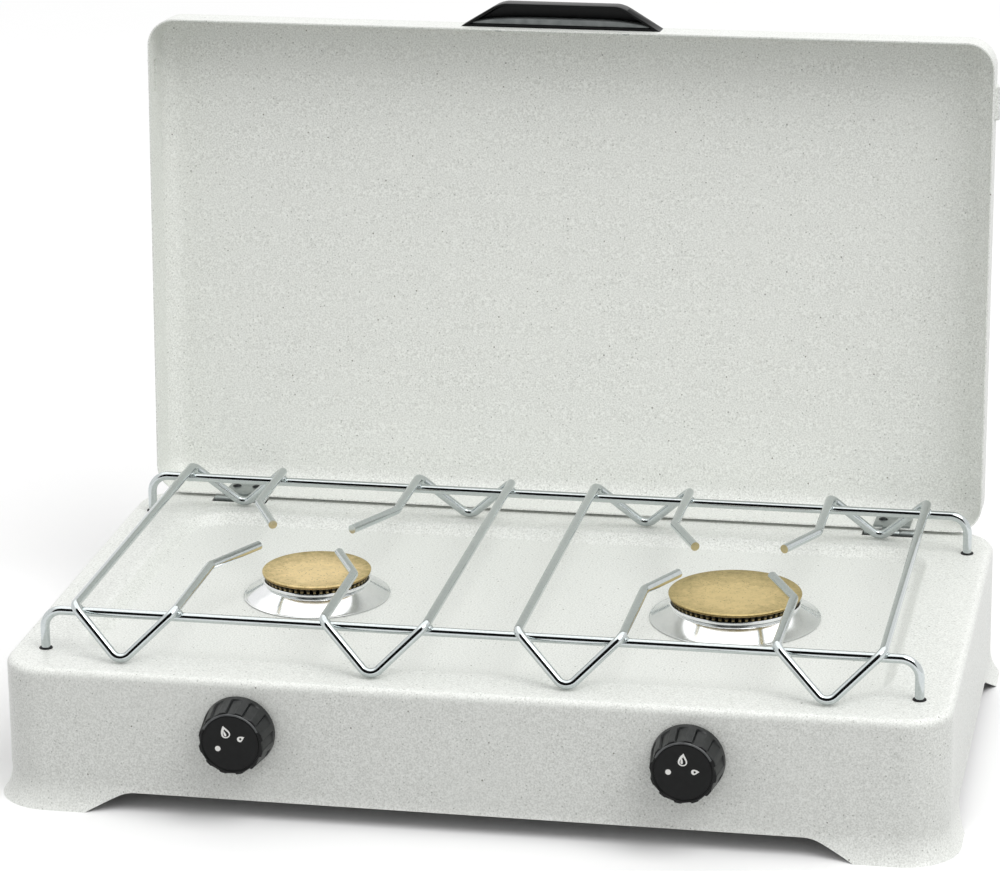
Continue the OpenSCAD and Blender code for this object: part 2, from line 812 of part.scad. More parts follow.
// Straight mixing tube with a belled mouth round the injector
module venturi(tap) {
  end_y = burner_y - sqrt(bowl_r * bowl_r - venturi_r * venturi_r) + venturi_into_bowl;
  color(steel) translate([tap, venturi_y, tap_z]) rotate([-90, 0, 0]) rotate_extrude() polygon([
    [venturi_r - venturi_wall + venturi_bell, 0],
    [venturi_r + venturi_bell, 0],
    [venturi_r, venturi_bell_l],
    [venturi_r, end_y - venturi_y],
    [venturi_r - venturi_wall, end_y - venturi_y],
    [venturi_r - venturi_wall, venturi_bell_l]
  ]);
}

module injector(tap) {
  color(brass) difference() {
    union() {
      translate([tap, jet_y, tap_z]) rotate([-90, 0, 0]) cylinder(h = jet_hex_l, r = jet_hex_r, $fn = 6);
      y_rod(tap, tap_z, jet_y + jet_hex_l, jet_y + jet_hex_l + jet_l, jet_r);
    }
    y_rod(tap, tap_z, jet_y - past, jet_y + jet_hex_l + jet_l - 1, gas_way_r);
    y_rod(tap, tap_z, jet_y, jet_y + jet_hex_l + jet_l + past, jet_hole_r);
  }
}

module burner_screws() {
  color(steel) at_burners() at_burner_screws() {
    translate([0, 0, tray_floor]) cylinder(h = burner_screw_head_h, r = burner_screw_head_r);
    translate([0, 0, tray_floor - burner_screw_l]) cylinder(h = burner_screw_l, r = burner_screw_r);
  }
}

// Tap that straddles the manifold, bored for the spindle and drilled for the gas
module tap_body(x) {
  bore_r = spindle_r + spindle_clearance;
  bore_end_y = spindle_end_y + push_travel + 1.5;
  color(brass) difference() {
    union() {
      y_rod(x, tap_z, neck_y, neck_y + neck_l, neck_r);
      y_rod(x, tap_z, neck_y + neck_l, tap_y + tap_half_l, tap_r);
      y_rod(x, tap_z, tap_y + tap_half_l, jet_y, tap_boss_r);
      translate([x - saddle_w / 2, tap_y - saddle_d / 2, manifold_z + saddle_gap])
        cube([saddle_w, saddle_d, manifold_drop - saddle_gap]);
    }
    y_rod(x, tap_z, neck_y - past, bore_end_y, bore_r);
    y_rod(x, tap_z, bore_end_y - past, jet_y + past, gas_way_r);
    x_rod(tap_y, manifold_z, x - saddle_w, x + saddle_w, tube_r + tube_fit);
    translate([x, tap_y, manifold_z]) cylinder(h = manifold_drop, r = gas_way_r);
    for (side = [-1, 1])
      translate([x, tap_y + side * clamp_screw_y, manifold_z])
        cylinder(h = clamp_screw_l + past, r = clamp_screw_r + screw_fit);
  }
}

// Spindle with a collar that pushes the washer and a flat that drives the knob
module spindle(x) {
  color(steel) difference() {
    union() {
      y_rod(x, tap_z, knob_back_y - knob_bore_l + spring_seat, spindle_end_y, spindle_r);
      y_rod(x, tap_z, collar_y, collar_y + collar_l, collar_r);
    }
    translate([x - spindle_r, knob_back_y - knob_bore_l - past, tap_z + spindle_flat])
      cube([2 * spindle_r, knob_bore_l + past, spindle_r]);
  }
}

module thrust_washer(x) {
  color(steel) difference() {
    y_rod(x, tap_z, washer_y, washer_y + washer_t, washer_r);
    y_rod(x, tap_z, washer_y - past, washer_y + washer_t + past, spindle_r + spindle_clearance);
  }
}

// Return spring round the spindle, a wire swept along a helix between the washer and the tap's neck
module knob_spring(x) {
  from_y = washer_y + washer_t + spring_seat;
  rise = neck_y - spring_seat - from_y - 2 * spring_wire_r;
  rings = spring_turns * ring_steps;
  points = [
    for (i = [0 : rings], j = [0 : wire_sides - 1])
      let (turn = 360 * i / ring_steps, tilt = 360 * j / wire_sides, r = spring_r + spring_wire_r * cos(tilt))
        [r * cos(turn), r * sin(turn), spring_wire_r + rise * i / rings + spring_wire_r * sin(tilt)]
  ];
  walls = [
    for (i = [0 : rings - 1], j = [0 : wire_sides - 1], half = [0, 1])
      let (a = i * wire_sides + j, b = i * wire_sides + (j + 1) % wire_sides)
        half == 0 ? [a, b, a + wire_sides] : [b, b + wire_sides, a + wire_sides]
  ];
  first = [for (j = [1 : wire_sides - 2]) [0, j + 1, j]];
  end = rings * wire_sides;
  last = [for (j = [1 : wire_sides - 2]) [end, end + j, end + j + 1]];
  color(steel) translate([x, from_y, tap_z]) rotate([-90, 0, 0])
    polyhedron(points, concat(walls, first, last));
}

// Hollow scalloped knob with a hub on the spindle, turned by angle as seen from the front
module knob(x, angle) {
  color(black) translate([x, knob_back_y, tap_z]) rotate([90, 0, 0]) difference() {
    union() {
      difference() {
        rotate_extrude() difference() {
          polygon([
            [0, 0],
            [knob_r, 0],
            [knob_face_r, knob_h - knob_edge_r],
            [knob_face_r - knob_edge_r, knob_h],
            [knob_face_r - knob_edge_r - knob_rim_w, knob_h],
            [knob_face_r - knob_edge_r - knob_rim_w - knob_recess, knob_h - knob_recess],
            [0, knob_h - knob_recess]
          ]);
          square([knob_r - knob_wall - flute_depth, knob_h / 2]);
        }
        for (i = [0 : knob_flutes - 1])
          rotate([0, 0, angle + 360 * i / knob_flutes])
            translate([knob_r + flute_r - flute_depth, 0, 0]) rotate([0, -knob_taper, 0])
              translate([0, 0, flute_start]) cylinder(h = knob_h, r = flute_r);
      }
      cylinder(h = knob_h / 2 + past, r = knob_hub_r);
    }
    difference() {
      translate([0, 0, -past]) cylinder(h = knob_bore_l + past, r = spindle_r + spindle_clearance);
      translate([-knob_r, spindle_flat + spindle_clearance, -2 * past])
        cube([2 * knob_r, knob_r, knob_bore_l + 3 * past]);
    }
  }
}

// Tube that feeds both taps: closed at the right, bent at the left towards the rear inlet
module gas_manifold() {
  color(steel) difference() {
    bent_rod([
      [tube_end_x, tap_y, manifold_z],
      [-inlet_x, tap_y, manifold_z],
      [-inlet_x, tube_end_y, manifold_z]
    ], manifold_bend_r, tube_r);
    bent_rod([
      [tube_end_x - 2, tap_y, manifold_z],
      [-inlet_x, tap_y, manifold_z],
      [-inlet_x, tube_end_y + past, manifold_z]
    ], manifold_bend_r, tube_r - tube_wall);
    for (side = [-1, 1])
      translate([side * tap_x, tap_y, manifold_z]) cylinder(h = tube_r + past, r = gas_way_r);
  }
}

// Sheet hangers from the underside of the casing's front border to the manifold
module manifold_brackets() {
  eye_r = tube_r + tube_fit;
  color(steel) for (side = [-1, 1]) translate([side * bracket_x, 0, 0]) {
    rotate([90, 0, 90]) linear_extrude(bracket_t, center = true) difference() {
      union() {
        translate([bracket_front_y, manifold_z])
          square([bracket_back_y - bracket_front_y, under_top - manifold_z]);
        translate([tap_y, manifold_z]) circle(eye_r + bracket_rim);
      }
      translate([tap_y, manifold_z]) circle(eye_r);
    }
    translate([-bracket_t / 2, bracket_front_y, under_top - bracket_t])
      cube([bracket_flange_w, bracket_back_y - bracket_front_y, bracket_t]);
  }
}

// Straps that hold the taps down on the manifold
module tap_clamps() {
  strap_in = tube_r + tube_fit;
  color(steel) for (side = [-1, 1]) translate([side * tap_x, tap_y, manifold_z]) difference() {
    union() {
      x_rod(0, 0, -strap_w / 2, strap_w / 2, strap_in + strap_t);
      translate([-strap_w / 2, -saddle_d / 2, -saddle_gap - strap_t]) cube([strap_w, saddle_d, strap_t]);
    }
    x_rod(0, 0, -strap_w, strap_w, strap_in);
    translate([-strap_w, -saddle_d, -saddle_gap]) cube([2 * strap_w, 2 * saddle_d, strap_in + 2 * strap_t]);
    for (end = [-1, 1])
      translate([0, end * clamp_screw_y, -4 * strap_t])
        cylinder(h = 4 * strap_t, r = clamp_screw_r + screw_fit);
  }
}

module clamp_screws() {
  color(steel) for (side = [-1, 1], end = [-1, 1])
    translate([side * tap_x, tap_y + end * clamp_screw_y, manifold_z - saddle_gap - strap_t]) {
      cylinder(h = clamp_screw_l, r = clamp_screw_r);
      translate([0, 0, -clamp_screw_head_h]) cylinder(h = clamp_screw_head_h, r = clamp_screw_head_r);
    }
}

// Bulkhead fitting in the rear wall: a socket for the manifold inside, a male thread outside
module gas_inlet() {
  color(brass) difference() {
    union() {
      y_rod(-inlet_x, manifold_z, inlet_body_y, inlet_wall_y - inlet_hex_l, inlet_body_r);
      translate([-inlet_x, inlet_wall_y - inlet_hex_l, manifold_z]) rotate([-90, 0, 0])
        cylinder(h = inlet_hex_l, r = inlet_hex_r, $fn = 6);
      y_rod(-inlet_x, manifold_z, inlet_wall_y, rear_y + locknut_t, inlet_neck_r);
      y_rod(-inlet_x, manifold_z, rear_y + locknut_t, inlet_end_y, inlet_r);
    }
    y_rod(-inlet_x, manifold_z, inlet_body_y - past, tube_end_y, tube_r + tube_fit);
    y_rod(-inlet_x, manifold_z, tube_end_y - past, inlet_end_y + past, inlet_bore_r);
  }
}

module inlet_locknut() {
  color(steel) difference() {
    translate([-inlet_x, rear_y, manifold_z]) rotate([-90, 0, 0])
      cylinder(h = locknut_t, r = inlet_hex_r, $fn = 6);
    y_rod(-inlet_x, manifold_z, rear_y - past, rear_y + locknut_t + past, inlet_neck_r + tube_fit);
  }
}

// Base leaf: a plate on the rear wall, a shelf under the slot and two outer knuckles on risers
module hinge_base(side) {
  plate_y = inlet_wall_y - leaf_t;
  riser_y = hinge_y + barrel_r - leaf_t;
  shelf_z = base_leaf_top - leaf_t;
  color(steel) translate([side * hinge_x, 0, 0]) difference() {
    union() {
      translate([-leaf_w / 2, plate_y, base_leaf_top - base_leaf_l]) cube([leaf_w, leaf_t, base_leaf_l]);
      translate([-barrel_l / 2, riser_y, shelf_z]) cube([barrel_l, plate_y + leaf_t - riser_y, leaf_t]);
      for (end = [0, 1]) mirror([end, 0, 0]) translate([knuckle_l / 2 + knuckle_gap, 0, 0]) {
        translate([0, riser_y, shelf_z]) cube([knuckle_l, leaf_t, hinge_z - shelf_z]);
        x_rod(hinge_y, hinge_z, 0, knuckle_l, barrel_r);
      }
    }
    x_rod(hinge_y, hinge_z, -barrel_l, barrel_l, hinge_bore_r);
    for (place = [-0.5, 0.5])
      y_rod(place * rivet_spacing, base_rivet_z, plate_y - past, plate_y + leaf_t + past, rivet_r + rivet_fit);
  }
}

// Turns a piece of the closed lid about the hinge axis to its open place
module swing() {
  translate([0, hinge_y, hinge_z]) rotate([-lid_open, 0, 0]) translate([0, -hinge_y, -hinge_z]) children();
}

// Lid leaf: one middle knuckle, a web under the rim and a plate on the rear wall's inner face
module hinge_leaf(side) {
  plate_y = lid_rear_in - leaf_t;
  plate_z = lid_rim_z + leaf_clear;
  color(steel) swing() translate([side * hinge_x, 0, 0]) difference() {
    union() {
      translate([-leaf_w / 2, plate_y, plate_z]) cube([leaf_w, leaf_t, leaf_l]);
      translate([-knuckle_l / 2, plate_y, hinge_z - leaf_t])
        cube([knuckle_l, leaf_t, plate_z - hinge_z + leaf_t + past]);
      translate([-knuckle_l / 2, plate_y, hinge_z - leaf_t]) cube([knuckle_l, hinge_y - plate_y, leaf_t]);
      x_rod(hinge_y, hinge_z, -knuckle_l / 2, knuckle_l / 2, barrel_r);
    }
    x_rod(hinge_y, hinge_z, -barrel_l, barrel_l, hinge_bore_r);
    for (place = [-0.5, 0.5])
      y_rod(place * rivet_spacing, lid_rivet_z, plate_y - past, plate_y + leaf_t + past, rivet_r + rivet_fit);
  }
}

module hinge_pin(side) {
  color(steel) translate([side * hinge_x, 0, 0]) x_rod(hinge_y, hinge_z, -barrel_l / 2, barrel_l / 2, hinge_pin_r);
}

// Rivet along Y through a stack of sheets, with its domed head at the low end
module rivet(z, from_y, to_y) {
  y_rod(0, z, from_y - rivet_head_h, from_y, rivet_head_r);
  y_rod(0, z, from_y, to_y, rivet_r);
  y_rod(0, z, to_y, to_y + rivet_tail_h, rivet_head_r);
}

module base_rivets() {
  color(steel) at_rivets() rivet(base_rivet_z, inlet_wall_y - leaf_t, rear_y);
}

module lid_rivets() {
  color(steel) swing() at_rivets() rivet(lid_rivet_z, lid_rear_in - leaf_t, lid_rear_y);
}

// Half section of the lid: upright wall and rounded edge to the panel, drawn in by skin
module lid_section(skin) {
  half = $half - skin;
  top = lid_rim_z + lid_h - skin;
  edge = lid_edge_r - skin;
  bottom = skin > 0 ? lid_rim_z - past : lid_rim_z;
  translate([0, bottom]) square([half, top - edge - bottom]);
  translate([0, bottom]) square([half - edge, top - bottom]);
  translate([half - edge, top - edge]) quarter_disc(edge);
}

// Block at a side catch, from the middle of the wall's sheet outwards, drawn in by skin
module catch_block(skin) {
  translate([lid_w / 2 - sheet_t / 2 - skin, lid_front_y + catch_y - catch_l / 2 + skin, catch_z + skin])
    cube([catch_rise + sheet_t / 2, catch_l - 2 * skin, catch_h - 2 * skin]);
}

// Lid: a pressed tray with a step pressed outwards in each side wall as a catch
module lid_shell() {
  color(enamel) swing() difference() {
    union() {
      translate([0, lid_mid_y, 0]) difference() {
        swept_block(lid_w, lid_l, lid_corner_r) lid_section(0);
        swept_block(lid_w, lid_l, lid_corner_r) lid_section(sheet_t);
      }
      for (side = [0, 1]) mirror([side, 0, 0]) catch_block(0);
    }
    for (side = [0, 1]) mirror([side, 0, 0]) catch_block(sheet_t);
    at_handle_screws()
      y_rod(0, handle_screw_z, lid_front_y - past, lid_front_y + sheet_t + past, handle_screw_r + screw_fit);
    at_rivets() y_rod(0, lid_rivet_z, lid_rear_in - past, lid_rear_y + past, rivet_r + rivet_fit);
  }
}

module at_handle_screws() {
  for (side = [-1, 1]) translate([side * handle_screw_x - handle_offset, 0, 0]) children();
}

// Plan of the handle, drawn with the lid's wall along X and the handle towards -Y
module handle_plan(inset) {
  corner_r = handle_corner_r - inset;
  corner_x = (handle_tip_w / 2) - handle_corner_r * tan(handle_slope / 2);
  points = concat(
    [[handle_w / 2 - inset / sin(handle_slope), 0]],
    arc([corner_x, handle_corner_r - handle_reach], corner_r, handle_slope - 90, -90)
  );
  polygon(concat(points, other_side(points)));
}

// Moulded pull with a finger hollow that opens towards the rim
module lid_handle() {
  color(black) swing() translate([0, lid_front_y, 0]) difference() {
    union() {
      translate([-handle_offset, 0, 0]) difference() {
        translate([0, 0, handle_z]) linear_extrude(handle_h) handle_plan(0);
        translate([0, -handle_wall, handle_z - past])
          linear_extrude(handle_h - handle_roof + past) intersection() {
            translate([0, handle_wall]) handle_plan(handle_wall);
            translate([-handle_w, -handle_reach]) square([2 * handle_w, handle_reach]);
          }
      }
      at_handle_screws() y_rod(0, handle_screw_z, -handle_boss_l, 0, handle_boss_r);
    }
    at_handle_screws() y_rod(0, handle_screw_z, -handle_screw_l, past, handle_screw_r + screw_fit);
  }
}

module handle_screws() {
  color(steel) swing() at_handle_screws() translate([0, lid_front_y, handle_screw_z]) {
    y_rod(0, 0, spring_seat - handle_screw_l, sheet_t, handle_screw_r);
    y_rod(0, 0, sheet_t, sheet_t + handle_screw_head_h, handle_screw_head_r);
  }
}

casing();
leg_grommets();
rail(-rail_y, front_leg_x);  // front_rail
rail(rail_y, rear_leg_x);  // rear_rail
support(-cell_x, -1);  // left_outer_support
support(-cell_x, 1);  // left_inner_support
support(cell_x, -1);  // right_inner_support
support(cell_x, 1);  // right_outer_support
burner_bowl(left_burner_x, -tap_x);  // left_burner_bowl
burner_head(left_burner_x, left_cap_r);  // left_burner_head
burner_skirt(left_burner_x, left_cap_r);  // left_burner_skirt
burner_cap(left_burner_x, left_cap_r);  // left_burner_cap
venturi(-tap_x);  // left_venturi
injector(-tap_x);  // left_injector
burner_bowl(right_burner_x, tap_x);  // right_burner_bowl
burner_head(right_burner_x, right_cap_r);  // right_burner_head
burner_skirt(right_burner_x, right_cap_r);  // right_burner_skirt
burner_cap(right_burner_x, right_cap_r);  // right_burner_cap
venturi(tap_x);  // right_venturi
injector(tap_x);  // right_injector
burner_screws();
tap_body(-tap_x);  // left_tap_body
spindle(-tap_x);  // left_spindle
knob(-tap_x, left_knob_turn);  // left_knob
knob_spring(-tap_x);  // left_knob_spring
thrust_washer(-tap_x);  // left_thrust_washer
tap_body(tap_x);  // right_tap_body
spindle(tap_x);  // right_spindle
knob(tap_x, 0);  // right_knob
knob_spring(tap_x);  // right_knob_spring
thrust_washer(tap_x);  // right_thrust_washer
gas_manifold();
manifold_brackets();
tap_clamps();
clamp_screws();
gas_inlet();
inlet_locknut();
hinge_base(-1);  // left_hinge_base
hinge_leaf(-1);  // left_hinge_leaf
hinge_pin(-1);  // left_hinge_pin
hinge_base(1);  // right_hinge_base
hinge_leaf(1);  // right_hinge_leaf
hinge_pin(1);  // right_hinge_pin
base_rivets();
lid_rivets();
lid_shell();
lid_handle();
handle_screws();
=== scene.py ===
"""Tabletop gas stove: two burners, a lift-off wire grate and a hinged lid that stands open.

Shapes are drawn in millimetres, in the frame of the CAD model, and become metres when a piece is finished.
The lid and what it carries are drawn closed, then swung open about the hinge axis.
"""
import json
import math

import bmesh
import bpy
from mathutils import Matrix, Vector

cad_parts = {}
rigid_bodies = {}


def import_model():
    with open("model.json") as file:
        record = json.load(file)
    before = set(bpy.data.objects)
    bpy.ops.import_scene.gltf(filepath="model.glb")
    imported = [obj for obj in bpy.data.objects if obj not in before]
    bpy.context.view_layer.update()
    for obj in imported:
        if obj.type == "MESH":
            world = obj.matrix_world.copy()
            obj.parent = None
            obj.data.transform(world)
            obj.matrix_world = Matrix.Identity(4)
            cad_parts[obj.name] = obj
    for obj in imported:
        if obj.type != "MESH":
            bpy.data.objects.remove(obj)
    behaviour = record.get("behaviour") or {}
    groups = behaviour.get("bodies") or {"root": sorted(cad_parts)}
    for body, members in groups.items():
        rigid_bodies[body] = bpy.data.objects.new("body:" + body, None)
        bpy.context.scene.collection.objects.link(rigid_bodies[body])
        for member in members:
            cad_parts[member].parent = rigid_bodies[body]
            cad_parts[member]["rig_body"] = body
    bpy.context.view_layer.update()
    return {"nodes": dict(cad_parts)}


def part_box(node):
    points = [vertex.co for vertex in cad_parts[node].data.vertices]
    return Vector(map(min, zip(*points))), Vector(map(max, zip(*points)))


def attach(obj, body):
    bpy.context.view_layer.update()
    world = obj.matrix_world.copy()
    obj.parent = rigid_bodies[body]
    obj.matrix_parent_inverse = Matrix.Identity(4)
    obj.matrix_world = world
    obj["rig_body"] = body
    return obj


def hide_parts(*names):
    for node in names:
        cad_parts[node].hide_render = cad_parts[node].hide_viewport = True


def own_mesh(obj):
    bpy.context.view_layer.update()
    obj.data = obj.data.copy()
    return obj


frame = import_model()
CAD = frame["nodes"]

MM = 0.001
TURN = math.tau

# Casing of enamelled sheet: half width, half depth, the middle of its depth, and its top
SHEET = 0.8
CASING_X = 252.5
CASING_Y = 151.0
CASING_MID = 4.0
CASING_TOP = 78.0
CASING_CORNER = 25.0
CASING_EDGE = 4.0
# Lip that flares out at the feet, and the arches between the feet
FLARE = 5.5
FLARE_H = 15.0
FLARE_R = (FLARE_H ** 2 + FLARE ** 2) / (2 * FLARE)
FRONT_ARCH = 205.0
SIDE_ARCH = 107.0
ARCH_H = 11.0
ARCH_RUN = 22.0
ARCH_R = 4.7
# Holes for the grate's legs, the burners' throats, the tap spindles and the gas inlet
LEG_HOLE_R = 3.33
THROAT_R = 18.5
SPINDLE_HOLE_R = 6.0
INLET_HOLE_R = 6.5
INLET_X = -205.0
INLET_Z = 34.0

# Tray pressed into the casing's top
TRAY_X = 218.0
TRAY_Y = 117.5
TRAY_MID = 2.5
TRAY_CORNER = 30.0
TRAY_DEPTH = 6.0
TRAY_FLOOR = CASING_TOP - TRAY_DEPTH
PRESS_R = 4.0

# Grate of plated wire, and the radii that its rails and supports are bent to
WIRE_R = 2.5
RAIL_BEND = 10
SUPPORT_BEND = 6
RAIL_Y = 115.0
RAIL_Z = 100.0
ROD_Z = 105.05
LEGS = {"front_rail": (234.0, -RAIL_Y), "rear_rail": (239.0, RAIL_Y)}
LEG_END = 64.0
WELD = (2.9, 2.9, 1.3)
CELL_X = 120.0
ROD_X = 95.5
FINGER_X = 40.3
FINGER_Y = 54.0
TIP_X = 24.0
TIP_Y = 20.4
V_X = 67.9
V_Y = 132.42
V_Z = 78.68
SHOULDER_Y = 121.0
# Cell, side, and how much longer than drawn the front and rear fingers were cut
SUPPORTS = {"left_outer_support": (-1, -1, 4.0, 2.0), "left_inner_support": (-1, 1, -1.0, 3.0),
            "right_inner_support": (1, -1, -5.0, 1.0), "right_outer_support": (1, 1, -1.0, -3.0)}

# Burners: across to the centre, and cap radius
BURNER_Y = 6.4
BURNERS = {"left": (-113.8, 30.4), "right": (121.5, 36.6)}
SKIRT_SPREAD = 10.5
SKIRT_TOP = 80.2
RIM_FOOT = 80.6
# Flame ports milled into the cap, and the teeth left between them
PORT_PITCH = 3.7
PORT_FLOOR = 82.2
PORT_ROOF = 85.1
TOOTH_W = 2.3
TOOTH_TAPER = 0.55
CAP_TOP = 87.1
CAP_WALL = 6.8

# Knobs
KNOB_X = 119.0
KNOB_Z = 51.5
KNOB_BACK = -150.0
KNOB_H = 18.7
KNOB_R = 19.6
KNOB_EDGE_R = 17.5
KNOB_FACE = 18.2
# Degrees that each knob is turned at rest
KNOB_TURNS = {"left": 23, "right": 0}
# Flutes of the grip: where they start and run in, their deepest radius, the shares of a flute where the cut
# and its crease begin, and how deep the cut starts, how far it falls and what the crease adds
KNOB_FLUTES = 12
FLUTE_START = 3.2
FLUTE_RUN = 0.6
FLUTE_FLOOR_R = 16.5
FLUTE_CUT = 0.4
FLUTE_CREASE = 0.9
CUT_START = 0.3
CUT_FALL = 0.8
CREASE_DEPTH = 0.4
# Each layer of ink is this much higher, and thicker than its step so that layers overlap
INK_STEP = 0.03
INK_T = 0.06
SPRING_WIRE = 0.45
SPRING_TURNS = 5

# Lid, closed, and the turn that opens it
LID_X = 244.5
LID_FRONT = -143.0
LID_REAR = 140.3
LID_RIM = 79.0
LID_H = 33.0
LID_CORNER = 16.0
LID_EDGE = 12.0
AXIS = Vector((0, 142.84, 77.5))
SWING = Matrix.Rotation(math.radians(-93.2), 4, "X")
OPEN = Matrix.Translation(AXIS) @ SWING @ Matrix.Translation(-AXIS)
CATCH_Y = LID_FRONT + 35.0
CATCH_Z = 91.5
CATCH_L = 20.0
CATCH_H = 7.0
HINGE_X = 193.0
HINGE_SLOT_X = 16.5
HINGE_SLOT_Y = (137.4, 146.14)
# Rivets of the hinges: offset across, then (Y, Z) of the head on the lid and on the casing
RIVET_X = 6.0
RIVET_GRIP = 2.0
LID_RIVET = (138.3, 92.3)
BASE_RIVET = (153.0, 63.1)
# Handle: place, half widths at the wall and at the outer side, reach from the wall, depth, corner rounding
HANDLE_X = -3.0
HANDLE_Z = 86.0
HANDLE_FOOT = 57.5
HANDLE_HEAD = 35.0
HANDLE_REACH = 13.7
HANDLE_DEPTH = 12.5
HANDLE_R = 4.0
# Its finger hollow, the wall left round that, and the sill inside, painted light grey as if lit
HANDLE_WALL = 1.3
HOLLOW_DRAFT = 0.6
HOLLOW_DEPTH = 9
SILL_X = 51
# Screws that hold the handle
SCREW_X = 37.0
SCREW_Z = 92.25
SCREW_R = 3.2
SCREW_H = 2.6
SCREW_TURN = 40

# Room that the metal mirrors, light and camera: metres, watts and degrees, with lens and sensor in
# millimetres; an edge is the pair of cosines between which a part of the room fades
ROOM_LEVEL = 0.89
DARK_SIDE = (0.0, -0.88, 0.475)
DARK_EDGE = (0.77, 0.82)
DARK_LEVEL = 0.01
CEILING = (0.0, 0.2, 0.98)
CEILING_EDGE = (0.66, 0.8)
CEILING_LEVEL = 1.7
FLOOR_HALF = 12
KEY_PLACE = (1.8, -1.3, 3.2)
KEY_AIM = (0, 0, 0.1)
KEY_SIZE = 2.6
KEY_POWER = 56.0
EYE = (0.40589, -2.07767, 0.85168)
AZIMUTH = 11.25
ELEVATION = 17.78
ROLL = -0.69
LENS = 146.93
SENSOR = 36.0


# Materials

def linear(colour):
    """The linear colour of an sRGB hex value."""
    channels = [int(colour[i:i + 2], 16) / 255 for i in (1, 3, 5)]
    return [c / 12.92 if c <= 0.04045 else ((c + 0.055) / 1.055) ** 2.4 for c in channels] + [1.0]


def per(size):
    """Texture scale at which one cell or wave is size millimetres wide."""
    return 1 / (size * MM)


def add(tree, kind, inputs=None, **settings):
    """Add a shader node with its settings; an input takes a value or the output that feeds it."""
    made = tree.nodes.new("ShaderNode" + kind)
    for name, value in settings.items():
        setattr(made, name, value)
    for name, value in (inputs or {}).items():
        if isinstance(value, bpy.types.NodeSocket):
            tree.links.new(value, made.inputs[name])
        else:
            made.inputs[name].default_value = value
    return made


def begin(name):
    """A new material: the material, its empty node tree and the Object coordinates."""
    material = bpy.data.materials.new(name)
    material.use_nodes = True
    tree = material.node_tree
    tree.nodes.clear()
    return material, tree, add(tree, "TexCoord").outputs["Object"]


def blend(tree, share, first, second):
    """The colour that turns from the first to the second as share goes from 0 to 1."""
    mixed = add(tree, "Mix", {0: share, 6: first, 7: second}, data_type="RGBA")
    return mixed.outputs[2]


def enamel_on_steel():
    """Fired porcelain enamel: an off-white glaze with a fine grain, scattered grey specks, a few brown pits
    and the slight orange peel of a sprayed coat.
    """
    material, tree, place = begin("porcelain_enamel_on_steel")
    grain = add(tree, "TexNoise", {"Vector": place, "Scale": per(0.9), "Detail": 2.0, "Roughness": 0.6})
    grain = add(tree, "MapRange", {"Value": grain.outputs[0], "From Min": 0.32, "From Max": 0.68})
    tone = blend(tree, grain.outputs[0], linear("#CFD1CC"), linear("#F8FAF6"))
    cloud = add(tree, "TexNoise", {"Vector": place, "Scale": per(45), "Detail": 2.0})
    cloud = add(tree, "MapRange", {"Value": cloud.outputs[0], "From Min": 0.3, "From Max": 0.7,
                                   "To Max": 0.25})
    tone = blend(tree, cloud.outputs[0], tone, linear("#EBEDE8"))
    # Specks about 0.8 mm across, in some of the cells of 2.4 mm
    cells = add(tree, "TexVoronoi", {"Vector": place, "Scale": per(2.4)})
    close = add(tree, "MapRange", {"Value": cells.outputs["Distance"], "From Min": 0.08, "From Max": 0.24,
                                   "To Min": 1.0, "To Max": 0.0})
    chance = add(tree, "SeparateColor", {"Color": cells.outputs["Color"]})
    chance = add(tree, "MapRange", {"Value": chance.outputs[0], "From Min": 0.45, "From Max": 0.95,
                                    "To Max": 0.8})
    speck = add(tree, "Math", {0: close.outputs[0], 1: chance.outputs[0]}, operation="MULTIPLY")
    tone = blend(tree, speck.outputs[0], tone, linear("#94968F"))
    # Pits about 1 mm across: cells of 10 mm, of which the surface meets one in ten, put them 30 mm apart
    pits = add(tree, "TexVoronoi", {"Vector": place, "Scale": per(10)})
    pit = add(tree, "MapRange", {"Value": pits.outputs["Distance"], "From Min": 0.03, "From Max": 0.055,
                                 "To Min": 0.9, "To Max": 0.0})
    tone = blend(tree, pit.outputs[0], tone, linear("#4A4236"))
    peel = add(tree, "TexNoise", {"Vector": place, "Scale": per(3.5), "Detail": 2.0})
    bump = add(tree, "Bump", {"Strength": 0.12, "Distance": 0.0004, "Height": peel.outputs[0]})
    shader = add(tree, "BsdfPrincipled", {"Base Color": tone, "Roughness": 0.38, "IOR": 1.5,
                                          "Normal": bump.outputs[0]})
    add(tree, "OutputMaterial", {"Surface": shader.outputs[0]})
    return material


def metal(name, dark, light, smooth, rough, wave, depth):
    """A metal whose colour and polish vary over marks of wave millimetres, depth millimetres deep."""
    material, tree, place = begin(name)
    marks = add(tree, "TexNoise", {"Vector": place, "Scale": per(wave), "Detail": 4.0, "Roughness": 0.6})
    shade = add(tree, "MapRange", {"Value": marks.outputs[0], "From Min": 0.3, "From Max": 0.7})
    tone = blend(tree, shade.outputs[0], linear(dark), linear(light))
    polish = add(tree, "MapRange", {"Value": marks.outputs[0], "From Min": 0.3, "From Max": 0.7,
                                    "To Min": smooth, "To Max": rough})
    bump = add(tree, "Bump", {"Strength": 0.2, "Distance": depth * MM, "Height": marks.outputs[0]})
    shader = add(tree, "BsdfPrincipled", {"Base Color": tone, "Metallic": 1.0,
                                          "Roughness": polish.outputs[0], "Normal": bump.outputs[0]})
    add(tree, "OutputMaterial", {"Surface": shader.outputs[0]})
    return material


